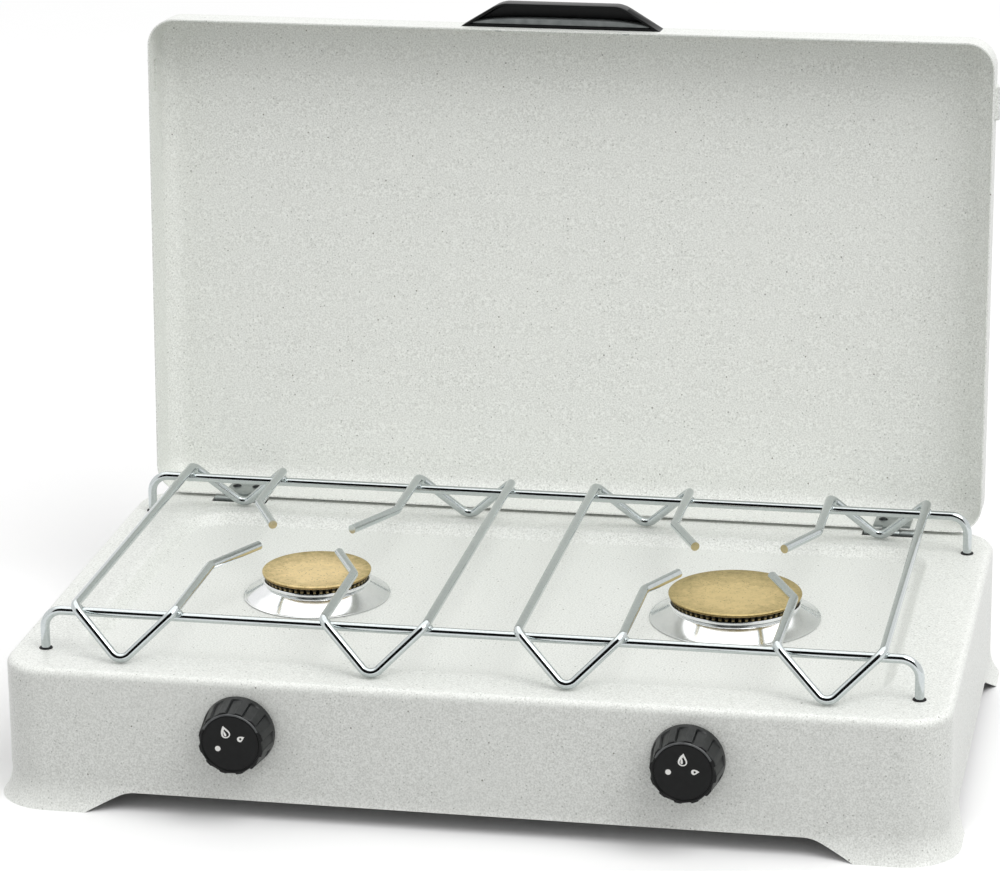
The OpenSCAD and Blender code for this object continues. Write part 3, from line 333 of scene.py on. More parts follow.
def brass_turned(name, centre_x, cap, gold, olive):
    """Brass faced on a lathe and used: pale gold, with fine rings about the cap's own centre and an olive
    oxide film in patches.
    A painted reflection turns it olive towards the back and the rim, which also takes some of the mirror off
    it, and painted shadow darkens the teeth under the rim.
    """
    material, tree, place = begin(name)
    centred = add(tree, "Mapping", {"Vector": place, "Location": (-centre_x * MM, -BURNER_Y * MM, 0)})
    # Tool marks of 0.2 mm are too fine to show, so the rings are drawn 0.8 mm apart
    wave = {"Vector": centred.outputs[0], "Scale": per(0.8) / 20, "Distortion": 1.5, "Detail": 2.0,
            "Detail Scale": 3.0}
    rings = add(tree, "TexWave", wave, wave_type="RINGS", rings_direction="Z")
    tarnish = add(tree, "TexNoise", {"Vector": place, "Scale": per(5), "Detail": 8.0, "Roughness": 0.85})
    tarnish = add(tree, "MapRange", {"Value": tarnish.outputs[0], "From Min": 0.3, "From Max": 0.7,
                                     "To Max": 0.8})
    # Painted reflection: bright at the front and centre, olive towards the back and the rim, added to the
    # oxide patches
    level = add(tree, "Mapping", {"Vector": centred.outputs[0], "Scale": (1, 1, 0)})
    away = add(tree, "VectorMath", {0: level.outputs[0], 1: (0, -0.2 * cap * MM, 0)}, operation="DISTANCE")
    rear = add(tree, "MapRange", {"Value": away.outputs["Value"], "From Min": 0.45 * cap * MM,
                                  "From Max": 1.2 * cap * MM, "To Min": -0.25, "To Max": 0.65})
    oxide_and_shade = add(tree, "Math", {0: tarnish.outputs[0], 1: rear.outputs[0]}, operation="ADD")
    oxide_and_shade = add(tree, "MapRange", {"Value": oxide_and_shade.outputs[0], "From Min": 0.1, "From Max": 1.1})
    tone = blend(tree, oxide_and_shade.outputs[0], linear(gold), linear(olive))
    # Flecks about 0.7 mm long where food has burnt on, in cells of 2.2 mm
    flecks = add(tree, "TexVoronoi", {"Vector": place, "Scale": per(2.2)})
    fleck = add(tree, "MapRange", {"Value": flecks.outputs["Distance"], "From Min": 0.1, "From Max": 0.22,
                                   "To Min": 0.7, "To Max": 0.0})
    tone = blend(tree, fleck.outputs[0], tone, linear("#6E5C34"))
    # Painted shadow under the disc's rim darkens the teeth from the foot of the flame ports up to their roof
    height = add(tree, "SeparateXYZ", {"Vector": place})
    overhang_shade = add(tree, "MapRange", {"Value": height.outputs[2], "From Min": (PORT_FLOOR + 0.3) * MM,
                                  "From Max": (PORT_FLOOR + 1.3) * MM, "To Min": 0.15, "To Max": 0.95})
    clear = add(tree, "MapRange", {"Value": height.outputs[2], "From Min": PORT_ROOF * MM,
                                   "From Max": (PORT_ROOF + 0.3) * MM, "To Min": 1.0, "To Max": 0.0})
    overhang_shade = add(tree, "Math", {0: overhang_shade.outputs[0], 1: clear.outputs[0]}, operation="MULTIPLY")
    tone = blend(tree, overhang_shade.outputs[0], tone, linear("#0E0B07"))
    polish = add(tree, "MapRange", {"Value": oxide_and_shade.outputs[0], "To Min": 0.4, "To Max": 0.55})
    bump = add(tree, "Bump", {"Strength": 0.15, "Distance": 0.00005, "Height": rings.outputs[1]})
    shader = add(tree, "BsdfPrincipled", {"Base Color": tone, "Metallic": 0.6,
                                          "Roughness": polish.outputs[0], "Normal": bump.outputs[0]})
    add(tree, "OutputMaterial", {"Surface": shader.outputs[0]})
    return material


def moulded(name, dark, light, roughness, grain, depth, gloss):
    """A moulded or printed non-metal with a grain of so many millimetres."""
    material, tree, place = begin(name)
    texture = add(tree, "TexNoise", {"Vector": place, "Scale": per(grain), "Detail": 3.0})
    patch = add(tree, "TexNoise", {"Vector": place, "Scale": per(grain * 12), "Detail": 2.0})
    shade = add(tree, "MapRange", {"Value": patch.outputs[0], "From Min": 0.3, "From Max": 0.7})
    tone = blend(tree, shade.outputs[0], linear(dark), linear(light))
    polish = add(tree, "MapRange", {"Value": texture.outputs[0], "To Min": roughness - 0.08,
                                    "To Max": roughness + 0.08})
    bump = add(tree, "Bump", {"Strength": 0.25, "Distance": depth * MM, "Height": texture.outputs[0]})
    shader = add(tree, "BsdfPrincipled", {"Base Color": tone, "Roughness": polish.outputs[0], "IOR": 1.5,
                                          "Specular IOR Level": gloss, "Normal": bump.outputs[0]})
    add(tree, "OutputMaterial", {"Surface": shader.outputs[0]})
    return material


ENAMEL = enamel_on_steel()
# Chrome plate on drawn wire: mirror bright and cool, with the faint draw marks of the wire under it
CHROME = metal("chrome_plated_wire", "#BCC3C4", "#CDD2D2", 0.05, 0.12, 1.2, 0.008)
# Sheared wire ends: bare steel, browned by heat
CUT_END = metal("bare_steel_heat_browned", "#2A2112", "#5A4926", 0.45, 0.65, 0.8, 0.03)
# Spun and polished aluminium sheet: bright, slightly clouded by use
POLISHED = metal("polished_aluminium_sheet", "#E4E6E7", "#F3F4F4", 0.09, 0.16, 12.0, 0.001)
# Rivets left black from heat treatment
BLACKED = metal("black_oxide_steel", "#202223", "#3A3D3E", 0.35, 0.5, 1.5, 0.02)
# Zinc plate on steel: grey, softly crystalline
ZINC = metal("zinc_plated_steel", "#8E9594", "#A9AFAD", 0.32, 0.5, 2.5, 0.02)
# Die-cast aluminium: dull grey with a cast skin
CAST = metal("die_cast_aluminium", "#8A8D8C", "#A3A5A3", 0.45, 0.62, 1.8, 0.08)
# Turned brass of taps and fittings
FITTING = metal("machined_brass", "#B4924E", "#CBAA66", 0.22, 0.38, 1.0, 0.01)
# Satin black ABS of the knobs and the handle, with a fine spark-eroded grain
ABS = moulded("black_abs_satin", "#0A0B0B", "#121313", 0.36, 0.35, 0.02, 0.2)
# The same plastic on the grip, painted slightly grey as a sheen, and on the upper side of the raised ring,
# painted lighter still as a highlight
ABS_GRIP_SHEEN = moulded("black_abs_grip_painted_sheen", "#181A1A", "#262828", 0.36, 0.4, 0.02, 0.3)
ABS_RING_HIGHLIGHT = moulded("black_abs_ring_painted_highlight", "#3E4041", "#5A5C5D", 0.35, 0.4, 0.01, 0.5)
# The same plastic painted grey, as painted light on the sill in the handle's hollow
ABS_SILL_LIT = moulded("black_abs_sill_painted_light", "#606464", "#787C7B", 0.6, 0.5, 0.02, 0.4)
# Screen-printed white ink of the knob marks
INK = moulded("white_screen_ink", "#EDEDE9", "#F8F8F5", 0.5, 0.3, 0.01, 0.5)
# Black rubber of the leg grommets
RUBBER = moulded("black_rubber", "#0F0F10", "#1A1A1A", 0.62, 0.5, 0.03, 0.3)
# The larger cap has had more use and is darker
CAPS = {"left": brass_turned("brass_turned_left", *BURNERS["left"], "#F8DEA6", "#A39360"),
        "right": brass_turned("brass_turned_right", *BURNERS["right"], "#E1C98E", "#988A5A")}


# Modelling helpers

def body_of(node):
    return CAD[node]["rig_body"]


def finish(name, shape, body, materials, stands_for=(), crease=32.0):
    """Turn a shape drawn in millimetres into a piece of the object that moves with a body."""
    bmesh.ops.scale(shape, vec=(MM, MM, MM), verts=shape.verts)
    mesh = bpy.data.meshes.new(name)
    shape.to_mesh(mesh)
    shape.free()
    for material in materials:
        mesh.materials.append(material)
    mesh.shade_smooth()
    mesh.set_sharp_from_angle(angle=math.radians(crease))
    piece = bpy.data.objects.new(name, mesh)
    bpy.context.collection.objects.link(piece)
    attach(piece, body)
    if stands_for:
        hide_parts(*stands_for)
    return piece


def moved(x, y, z):
    return Matrix.Translation((x, y, z))


def rotated(degrees, axis):
    return Matrix.Rotation(math.radians(degrees), 4, axis)


def placed(shape, matrix):
    bmesh.ops.transform(shape, matrix=matrix, verts=shape.verts)
    return shape


def joined(shapes):
    """One shape that holds several."""
    whole = bmesh.new()
    for shape in shapes:
        mesh = bpy.data.meshes.new("part")
        shape.to_mesh(mesh)
        shape.free()
        whole.from_mesh(mesh)
        bpy.data.meshes.remove(mesh)
    return whole


def bevelled(shape, geom, width, steps, affect):
    bmesh.ops.bevel(shape, geom=geom, offset=width, offset_type="OFFSET", segments=steps, profile=0.5,
                    affect=affect, material=-1, clamp_overlap=True)


def soften(shape, width, corner=35.0):
    """Round every edge that turns by more than corner degrees."""
    closed = [edge for edge in shape.edges if len(edge.link_faces) == 2]
    sharp = [edge for edge in closed if edge.calc_face_angle() > math.radians(corner)]
    bevelled(shape, sharp, width, 2, "EDGES")
    return shape


def outline(shape, points, steps):
    """Draw a flat face through a few points, each (x, y, corner rounding along its edges)."""
    corners = [shape.verts.new((x, y, 0)) for x, y, r in points]
    shape.faces.new(corners)
    for corner, (x, y, r) in zip(corners, points):
        if r:
            bevelled(shape, [corner], r, steps, "VERTICES")


def plate(half_x, half_y, corner, z, steps=14):
    """A flat face with rounded corners: the shape and its one face."""
    shape = bmesh.new()
    made = bmesh.ops.create_grid(shape, x_segments=1, y_segments=1, size=1,
                                 matrix=moved(0, 0, z) @ Matrix.Diagonal((half_x, half_y, 1, 1)))
    bevelled(shape, made["verts"], corner, steps, "VERTICES")
    shape.faces.ensure_lookup_table()
    return shape, shape.faces[0]


def press(shape, face, section):
    """Draw a face through a section of (inset, height) points, leaving a band of faces at each."""
    inset, height = section[0]
    for next_inset, next_height in section[1:]:
        bmesh.ops.inset_region(shape, faces=[face], thickness=next_inset - inset,
                               depth=next_height - height, use_boundary=True, use_even_offset=True)
        inset, height = next_inset, next_height


def thicken(shape, height):
    """Extrude a flat outline straight up into a solid."""
    made = bmesh.ops.extrude_face_region(shape, geom=shape.faces[:], use_keep_orig=True)
    top = [item for item in made["geom"] if isinstance(item, bmesh.types.BMVert)]
    bmesh.ops.translate(shape, vec=(0, 0, height), verts=top)
    bmesh.ops.recalc_face_normals(shape, faces=shape.faces)
    return shape


def turned(section, steps, place=Matrix()):
    """Turn a section of (radius, height) points about the Z axis."""
    shape = bmesh.new()
    points = [shape.verts.new((r, 0, h)) for r, h in section]
    edges = [shape.edges.new(pair) for pair in zip(points, points[1:])]
    bmesh.ops.spin(shape, geom=points + edges, axis=(0, 0, 1), cent=(0, 0, 0), angle=TURN, steps=steps,
                   use_merge=True)
    bmesh.ops.remove_doubles(shape, verts=shape.verts, dist=0.0005)
    bmesh.ops.recalc_face_normals(shape, faces=shape.faces)
    return placed(shape, place)


def arc(centre, radius, start, end, steps):
    """Points (across, up) along an arc, angles in degrees."""
    angles = [math.radians(start + (end - start) * k / steps) for k in range(steps + 1)]
    return [(centre[0] + radius * math.cos(a), centre[1] + radius * math.sin(a)) for a in angles]


def rod(radius, start, end, sides=32):
    """A round bar between two points."""
    start = Vector(start)
    along = Vector(end) - start
    shape = bmesh.new()
    bmesh.ops.create_cone(shape, cap_ends=True, segments=sides, radius1=radius, radius2=radius,
                          depth=along.length)
    turn = Vector((0, 0, 1)).rotation_difference(along).to_matrix().to_4x4()
    return placed(shape, Matrix.Translation(start + along / 2) @ turn)


def block(low, high):
    """A box between two corners."""
    low = Vector(low)
    size = Vector(high) - low
    place = Matrix.Translation(low + size / 2) @ Matrix.Diagonal((*size, 1))
    shape = bmesh.new()
    bmesh.ops.create_cube(shape, size=1, matrix=place)
    return shape


def bench(shape):
    """A working object that carries a shape through modifiers."""
    mesh = bpy.data.meshes.new("bench")
    shape.to_mesh(mesh)
    shape.free()
    piece = bpy.data.objects.new("bench", mesh)
    bpy.context.collection.objects.link(piece)
    return piece


def taken(piece):
    """The shape of a working object after its modifiers; the object is removed."""
    made = piece.evaluated_get(bpy.context.evaluated_depsgraph_get())
    shape = bmesh.new()
    shape.from_mesh(made.to_mesh())
    made.to_mesh_clear()
    bpy.data.objects.remove(piece)
    return shape


def pierced(sheet, cutters, wall=0.0):
    """Cut a shape; a pressed sheet is first given its wall, inwards."""
    work = bench(sheet)
    if wall:
        thick = work.modifiers.new("wall", "SOLIDIFY")
        thick.thickness = wall
        thick.offset = -1.0
        thick.use_even_offset = True
    tools = [bench(cutter) for cutter in cutters]
    for tool in tools:
        cut = work.modifiers.new("cut", "BOOLEAN")
        cut.operation = "DIFFERENCE"
        cut.solver = "EXACT"
        cut.object = tool
    shape = taken(work)
    for tool in tools:
        bpy.data.objects.remove(tool)
    return shape


def bent(points, radius, steps=8):
    """Centre line through corner points, with each inner corner bent to a radius."""
    points = [Vector(point) for point in points]
    line = [points[0]]
    for before, corner, after in zip(points, points[1:], points[2:]):
        back = (before - corner).normalized()
        on = (after - corner).normalized()
        half = back.angle(on) / 2
        centre = corner + (back + on).normalized() * radius / math.sin(half)
        first = (corner + back * radius / math.tan(half) - centre).normalized()
        last = (corner + on * radius / math.tan(half) - centre).normalized()
        line += [centre + first.slerp(last, k / steps) * radius for k in range(steps + 1)]
    return line + [points[-1]]


def wire(line, radius):
    """A round wire swept along a centre line, its cut ends rounded over and in the second material."""
    curve = bpy.data.curves.new("wire", "CURVE")
    curve.dimensions = "3D"
    curve.bevel_depth = radius
    curve.bevel_resolution = 8
    curve.use_fill_caps = True
    spline = curve.splines.new("POLY")
    spline.points.add(len(line) - 1)
    for point, place in zip(spline.points, line):
        point.co = (*place, 1)
    work = bpy.data.objects.new("wire", curve)
    bpy.context.collection.objects.link(work)
    shape = taken(work)
    bmesh.ops.remove_doubles(shape, verts=shape.verts, dist=0.0005)
    ends = [face for face in shape.faces if len(face.verts) > 4]
    for face in ends:
        face.material_index = 1
    bevelled(shape, list({edge for face in ends for edge in face.edges}), 0.7, 3, "EDGES")
    return shape


def cad_copy(node):
    """A CAD node's shape in millimetres, with its flat faces made whole."""
    shape = bmesh.new()
    shape.from_mesh(CAD[node].data)
    bmesh.ops.scale(shape, vec=(1 / MM, 1 / MM, 1 / MM), verts=shape.verts)
    bmesh.ops.remove_doubles(shape, verts=shape.verts, dist=0.002)
    bmesh.ops.dissolve_limit(shape, angle_limit=math.radians(0.5), verts=shape.verts, edges=shape.edges)
    for face in shape.faces:
        face.material_index = 0
    return shape


# Casing

def arch(half, reach):
    """Cutter for the arch between two feet, through both walls that face along Y."""
    shape = bmesh.new()
    crown = half - ARCH_RUN
    # The cutter's foot lies below the table and is a little wider than the arch
    foot = [(-half - 4, -2, 0), (half + 4, -2, 0)]
    outline(shape, foot + [(crown, ARCH_H, ARCH_R), (-crown, ARCH_H, ARCH_R)], 10)
    thicken(shape, 2 * reach)
    return placed(shape, moved(0, reach, 0) @ rotated(90, "X"))


def casing_sheet():
    """The pressed sheet before it is pierced: walls with a flared lip, and a tray sunk into the top."""
    # The lip is drawn a little past the table and cut flat there
    heights = (-1, 0, 1, 2.5, 5, 7.5, 10, 12.5, FLARE_H)
    flare = [(FLARE_R - math.sqrt(FLARE_R ** 2 - (FLARE_H - z) ** 2), z) for z in heights]
    foot = flare[0][0]
    shell, top = plate(CASING_X + foot, CASING_Y + foot, CASING_CORNER + foot, flare[0][1])
    edge = arc((CASING_EDGE, CASING_TOP - CASING_EDGE), CASING_EDGE, 180, 90, 8)
    wall = [(foot - out, z) for out, z in flare]
    wall += [(foot, FLARE_H + 1), (foot, CASING_TOP - CASING_EDGE - 1)]
    wall += [(foot + x, z) for x, z in edge]
    press(shell, top, wall + [(foot + CASING_EDGE + 1, CASING_TOP)])
    bmesh.ops.delete(shell, geom=[top], context="FACES_ONLY")
    placed(shell, moved(0, CASING_MID, 0))

    # The tray has soft radii at the top and the foot of its slope
    fall = PRESS_R * (1 - math.cos(math.radians(45)))
    run = 2 * PRESS_R * math.sin(math.radians(45)) + TRAY_DEPTH - 2 * fall
    spread = (run - TRAY_DEPTH) / 2
    tray, floor = plate(TRAY_X + spread, TRAY_Y + spread, TRAY_CORNER + spread, CASING_TOP)
    upper = arc((0, CASING_TOP - PRESS_R), PRESS_R, 90, 45, 5)
    lower = arc((run, TRAY_FLOOR + PRESS_R), PRESS_R, 225, 270, 5)
    press(tray, floor, upper + lower + [(run + 1, TRAY_FLOOR)])
    placed(tray, moved(0, TRAY_MID, 0))

    shell = joined([shell, tray])
    rims = [edge for edge in shell.edges if edge.is_boundary]
    border = [edge for edge in rims if all(abs(vert.co.z - CASING_TOP) < 0.01 for vert in edge.verts)]
    bmesh.ops.bridge_loops(shell, edges=border)
    bmesh.ops.recalc_face_normals(shell, faces=shell.faces)
    return shell


def casing():
    # Cutters for the holes start and end this far from the sheet's outer face
    past = 4
    front = CASING_MID - CASING_Y
    rear = CASING_MID + CASING_Y
    # All that lies below the table is cut away, and the arches go through both opposite walls
    holes = [block((-300, -200, -5), (300, 200, 0)), arch(FRONT_ARCH, 200)]
    holes.append(placed(arch(SIDE_ARCH, 300), moved(0, CASING_MID, 0) @ rotated(90, "Z")))
    for x, y in LEGS.values():
        for leg_x in (-x, x):
            holes.append(rod(LEG_HOLE_R, (leg_x, y, CASING_TOP - past), (leg_x, y, CASING_TOP + past)))
    for x, _ in BURNERS.values():
        holes.append(rod(THROAT_R, (x, BURNER_Y, TRAY_FLOOR - past), (x, BURNER_Y, TRAY_FLOOR + past), 48))
    for side in (-1, 1):
        x = side * KNOB_X
        holes.append(rod(SPINDLE_HOLE_R, (x, front - past, KNOB_Z), (x, front + past, KNOB_Z)))
        low = (side * HINGE_X - HINGE_SLOT_X, HINGE_SLOT_Y[0], CASING_TOP - past)
        holes.append(block(low, (side * HINGE_X + HINGE_SLOT_X, HINGE_SLOT_Y[1], CASING_TOP + past)))
    holes.append(rod(INLET_HOLE_R, (INLET_X, rear - past, INLET_Z), (INLET_X, rear + past, INLET_Z)))
    finish("casing_shell", pierced(casing_sheet(), holes, SHEET), "casing", [ENAMEL], ["casing"])


casing()


# Grate

def weld(x, y):
    """Flattened weld nugget between a rail and a support wire that crosses it."""
    nugget = bmesh.new()
    place = moved(x, y, (RAIL_Z + ROD_Z) / 2) @ Matrix.Diagonal((*WELD, 1))
    bmesh.ops.create_icosphere(nugget, subdivisions=3, radius=1, matrix=place)
    return nugget


def rail(node, x, y):
    line = bent([(-x, y, LEG_END), (-x, y, RAIL_Z), (x, y, RAIL_Z), (x, y, LEG_END)], RAIL_BEND, 10)
    reaches = (-ROD_X, -FINGER_X, FINGER_X, ROD_X)
    welds = [weld(cell * CELL_X + reach, y) for cell in (-1, 1) for reach in reaches]
    shape = joined([wire(line, WIRE_R)] + welds)
    finish("wire_" + node, shape, "grate", [CHROME, CUT_END], [node])


def support(node, cell, side, front_extra, rear_extra):
    """Wire on one side of its cell: finger, front V, long rod, rear V, finger."""
    finger, v, long_rod = (cell * CELL_X + side * x for x in (FINGER_X, V_X, ROD_X))
    slant = Vector((TIP_X - FINGER_X, FINGER_Y - TIP_Y)).normalized()
    front_x = cell * CELL_X + side * (TIP_X + slant.x * front_extra)
    rear_x = cell * CELL_X + side * (TIP_X + slant.x * rear_extra)
    front = [(front_x, BURNER_Y - TIP_Y + slant.y * front_extra, ROD_Z),
             (finger, BURNER_Y - FINGER_Y, ROD_Z), (finger, -SHOULDER_Y, ROD_Z), (v, -V_Y, V_Z),
             (long_rod, -SHOULDER_Y, ROD_Z)]
    rear = [(long_rod, SHOULDER_Y, ROD_Z), (v, V_Y, V_Z), (finger, SHOULDER_Y, ROD_Z),
            (finger, BURNER_Y + FINGER_Y, ROD_Z), (rear_x, BURNER_Y + TIP_Y - slant.y * rear_extra, ROD_Z)]
    line = bent(front + rear, SUPPORT_BEND)
    finish("wire_" + node, wire(line, WIRE_R), "grate", [CHROME, CUT_END], [node])


def grommets():
    section = [(2.6, -1.8), (3.7, -1.8), (4.0, -1.5), (4.0, -0.85), (3.3, -0.8), (3.3, 0.0), (3.6, 0.02),
               (3.65, 0.25), (3.5, 0.5), (3.1, 0.6), (2.6, 0.45), (2.6, -1.8)]
    places = [moved(side * x, y, CASING_TOP) for x, y in LEGS.values() for side in (-1, 1)]
    rings = joined([turned(section, 40, place) for place in places])
    finish("rubber_grommets", rings, body_of("leg_grommets"), [RUBBER], ["leg_grommets"], 50)


for name, (leg_x, leg_y) in LEGS.items():
    rail(name, leg_x, leg_y)
for name, measures in SUPPORTS.items():
    support(name, *measures)
grommets()


# Burners

def burner(side, x, cap):
    place = moved(x, BURNER_Y, 0)
    base = cap + SKIRT_SPREAD
    top = cap - 1.8
    # The rolled foot stands just clear of the tray outside the ring that it rests on
    foot = [(-2.6, 0), (-1.6, 0), (-1.5, 0.35), (-0.2, 0.35), (0, 0.5), (-0.05, 0.75), (-0.5, 0.95),
            (-1.5, 1.1)]
    skirt = [(base + out, TRAY_FLOOR + up) for out, up in foot]
    skirt += [(top + 0.5, SKIRT_TOP - 0.3), (top, SKIRT_TOP), (top - 0.6, SKIRT_TOP)]
    skirt += [(base - 2.6, TRAY_FLOOR + 0.5), skirt[0]]
    finish(side + "_skirt_cone", turned(skirt, 128, place), "casing", [POLISHED],
           [side + "_burner_skirt"])

    # The head widens from its throat to a neck, over which its plain rim stands out
    head = [(16, 64), (17.9, 64), (17.9, TRAY_FLOOR), (22, TRAY_FLOOR), (22, 74), (cap - 3.5, 79)]
    rim = [(-3.4, 0), (-0.8, 0), (-0.35, 0.25), (-0.3, 0.6), (-0.3, 1.5), (-0.5, 1.9), (-0.9, 2), (-5, 2)]
    head += [(cap + out, RIM_FOOT + up) for out, up in rim]
    head += [(cap - 5, 79.6), (16, 75), (16, 64)]
    finish(side + "_head_rim", turned(head, 128, place), "casing", [POLISHED],
           [side + "_burner_head"])

    # The disc's edge has a groove turned into it, above the thin ring that roofs the flame ports
    inner = cap - CAP_WALL
    outer = cap - 5.3
    edge = [(-1.2, 0), (-0.5, 0.05), (-0.35, 0.15), (-0.35, 0.3), (-0.5, 0.4), (-1.3, 0.45), (-1.3, 0.9),
            (-0.3, 0.95), (0, 1.1), (0, 1.4), (-0.25, 1.7), (-0.8, 1.9), (-1.6, 1.95)]
    disc = [(0, PORT_ROOF - 0.8), (inner, PORT_ROOF - 0.8), (inner, PORT_ROOF)]
    disc += [(cap + out, PORT_ROOF + up) for out, up in edge]
    disc += [(cap * 0.5, CAP_TOP - 0.02), (0, CAP_TOP)]
    spigot = [(inner, PORT_FLOOR - 2), (outer, PORT_FLOOR - 2), (outer, PORT_FLOOR), (inner, PORT_FLOOR),
              (inner, PORT_FLOOR - 2)]
    # Teeth between the ports, narrower at the foot because each port is wider there
    ports = round(TURN * (cap - 1.2) / PORT_PITCH)
    tooth = block((inner, -TOOTH_W / 2, PORT_FLOOR), (cap - 1.9, TOOTH_W / 2, PORT_ROOF + 0.1))
    for vert in tooth.verts:
        if vert.co.z < (PORT_FLOOR + PORT_ROOF) / 2:
            vert.co.y *= TOOTH_TAPER
    soften(tooth, 0.15)
    bmesh.ops.spin(tooth, geom=tooth.verts[:] + tooth.edges[:] + tooth.faces[:], axis=(0, 0, 1),
                   cent=(0, 0, 0), angle=TURN * (ports - 1) / ports, steps=ports - 1, use_duplicate=True)
    whole = joined([turned(disc, 144, place), turned(spigot, 96, place), placed(tooth, place)])
    finish(side + "_brass_cap", whole, "casing", [CAPS[side]], [side + "_burner_cap"])


for name, (burner_x, cap_r) in BURNERS.items():
    burner(name, burner_x, cap_r)


# Knobs

def drop(width, height):
    """Flat drop with its tip up."""
    shape = bmesh.new()
    bmesh.ops.create_circle(shape, cap_ends=True, segments=40, radius=1)
    for vert in shape.verts:
        turn = math.atan2(vert.co.x, vert.co.y)
        lean = 0.12 * width * max(0.0, math.cos(turn)) ** 3
        vert.co.x = width / 2 * 1.3 * math.sin(turn) * abs(math.sin(turn / 2)) ** 1.2 + lean
        vert.co.y = height / 2 * math.cos(turn)
    return shape


def printed(shape, x, y, layer, ink):
    """A mark printed on the knob's face; a higher layer covers a lower one."""
    for face in shape.faces:
        face.material_index = ink
    return placed(thicken(shape, INK_T), moved(x, y, KNOB_FACE + INK_STEP * (layer - 1)))


def dot(radius):
    shape = bmesh.new()
    bmesh.ops.create_circle(shape, cap_ends=True, segments=24, radius=radius)
    return shape


def knob_marks():
    """White marks: a dot for off, a large flame with a tongue, and a small flame on its side."""
    white = 0
    bare = 1
    lying = rotated(-78, "Z")
    return joined([printed(dot(1.5), -7.6, -0.2, 1, white),
                   printed(drop(5.0, 7.0), -0.2, 7.0, 1, white),
                   printed(drop(3.3, 4.3), -0.1, 6.3, 2, bare),
                   printed(drop(1.3, 3.4), -0.6, 6.3, 3, white),
                   printed(placed(drop(3.0, 4.3), lying), 6.4, 0.7, 1, white),
                   printed(dot(0.6), 6.1, 0.6, 2, bare)])


def knob(side, x, turn):
    node = side + "_knob"
    place = moved(x, KNOB_BACK, KNOB_Z) @ rotated(90, "X") @ rotated(turn, "Z")
    slope = (KNOB_R - KNOB_EDGE_R) / (KNOB_H - 0.8)
    run_in = (FLUTE_START, FLUTE_START + FLUTE_RUN / 2, FLUTE_START + FLUTE_RUN)
    heights = (0.5, 2.0, *run_in, 4.4, 6, 9, 12, 15, 16.6, 17.5)
    # Round the face run the grip's rounded edge, a raised ring and a narrow groove
    section = [(0, 2.0), (15.6, 2.0), (16.4, 0.3), (16.8, 0.0), (19.1, 0.0)]
    section += [(KNOB_R - slope * h, h) for h in heights]
    section += [(17.35, 17.95), (16.95, 18.2), (16.6, 18.22), (16.45, 18.4), (16.25, 18.62), (15.95, KNOB_H),
                (15.65, 18.62), (15.45, 18.4), (15.4, 17.9), (15.0, 17.9), (14.9, KNOB_FACE), (0, KNOB_FACE)]
    shape = turned(section, KNOB_FLUTES * 18)
    # The side of the grip gets the painted sheen, and the upper part of the raised ring the painted
    # highlight
    upward = Vector((math.sin(math.radians(turn)), math.cos(math.radians(turn)), 0))
    for face in shape.faces:
        middle = face.calc_center_median()
        if 0.1 < middle.z < 17.9 and middle.xy.length > 17:
            face.material_index = 1
        # Painted highlight: only the part of the ring that faces up once the knob is placed
        if middle.z > 18.3 and middle.dot(upward) > 0.45 * middle.xy.length:
            face.material_index = 2
    # Each flute deepens round the grip to a crease under a sharp step, and runs up to the edge of the face.
    # A tiny shift keeps every vertex that lies on the step on the same side of it.
    for vert in shape.verts:
        reach = math.hypot(vert.co.x, vert.co.y)
        depth = min(1.0, max(0.0, (vert.co.z - FLUTE_START) / FLUTE_RUN))
        if reach > FLUTE_FLOOR_R and depth > 0:
            part = (math.degrees(math.atan2(vert.co.y, vert.co.x)) * KNOB_FLUTES / 360 + 0.5 + 1e-4) % 1.0
            cut = 0.0
            if part > FLUTE_CUT:
                cut = CUT_START + CUT_FALL * (part - FLUTE_CUT) / (1 - FLUTE_CUT)
            if part > FLUTE_CREASE:
                cut += CREASE_DEPTH
            target = max(FLUTE_FLOOR_R, reach - depth * cut)
            vert.co.x *= target / reach
            vert.co.y *= target / reach
    finish(node + "_grip", placed(shape, place), body_of(node), [ABS, ABS_GRIP_SHEEN, ABS_RING_HIGHLIGHT],
           [node], 28)
    finish(node + "_marks", placed(knob_marks(), place), body_of(node), [INK, ABS])


knob("left", -KNOB_X, KNOB_TURNS["left"])
knob("right", KNOB_X, KNOB_TURNS["right"])


# Lid

def catch(side):
    """Step pressed outwards in a side wall."""
    step, top = plate(CATCH_H / 2, CATCH_L / 2, 1.2, 0, 5)
    press(step, top, [(0, 0), (0.2, 1.6), (0.35, 2.3), (0.65, 2.68), (1.1, 2.8), (1.4, 2.8)])
    wall = moved(side * (LID_X - SHEET / 2), CATCH_Y, CATCH_Z)
    outwards = rotated(90 * side, "Y") @ Matrix.Diagonal((1, 1, 1.14, 1))
    return placed(pierced(step, [], SHEET), wall @ outwards)


def lid():
    half_y = (LID_REAR - LID_FRONT) / 2
    shell, panel = plate(LID_X, half_y, LID_CORNER, LID_RIM)
    edge = arc((LID_EDGE, LID_RIM + LID_H - LID_EDGE), LID_EDGE, 180, 90, 10)
    wall = [(0, LID_RIM), (0, LID_RIM + 1), (0, LID_RIM + LID_H - LID_EDGE - 1)]
    press(shell, panel, wall + edge + [(LID_EDGE + 1, LID_RIM + LID_H)])
    placed(shell, moved(0, (LID_REAR + LID_FRONT) / 2, 0))
    holes = []
    for side in (-1, 1):
        middle = Vector((side * LID_X, CATCH_Y, CATCH_Z))
        reach = Vector((2, CATCH_L / 2 - 0.5, CATCH_H / 2 - 0.5))
        holes.append(block(middle - reach, middle + reach))
    shape = joined([pierced(shell, holes, SHEET), catch(-1), catch(1)])
    finish("lid_pressing", placed(shape, OPEN), "lid", [ENAMEL], ["lid_shell"])


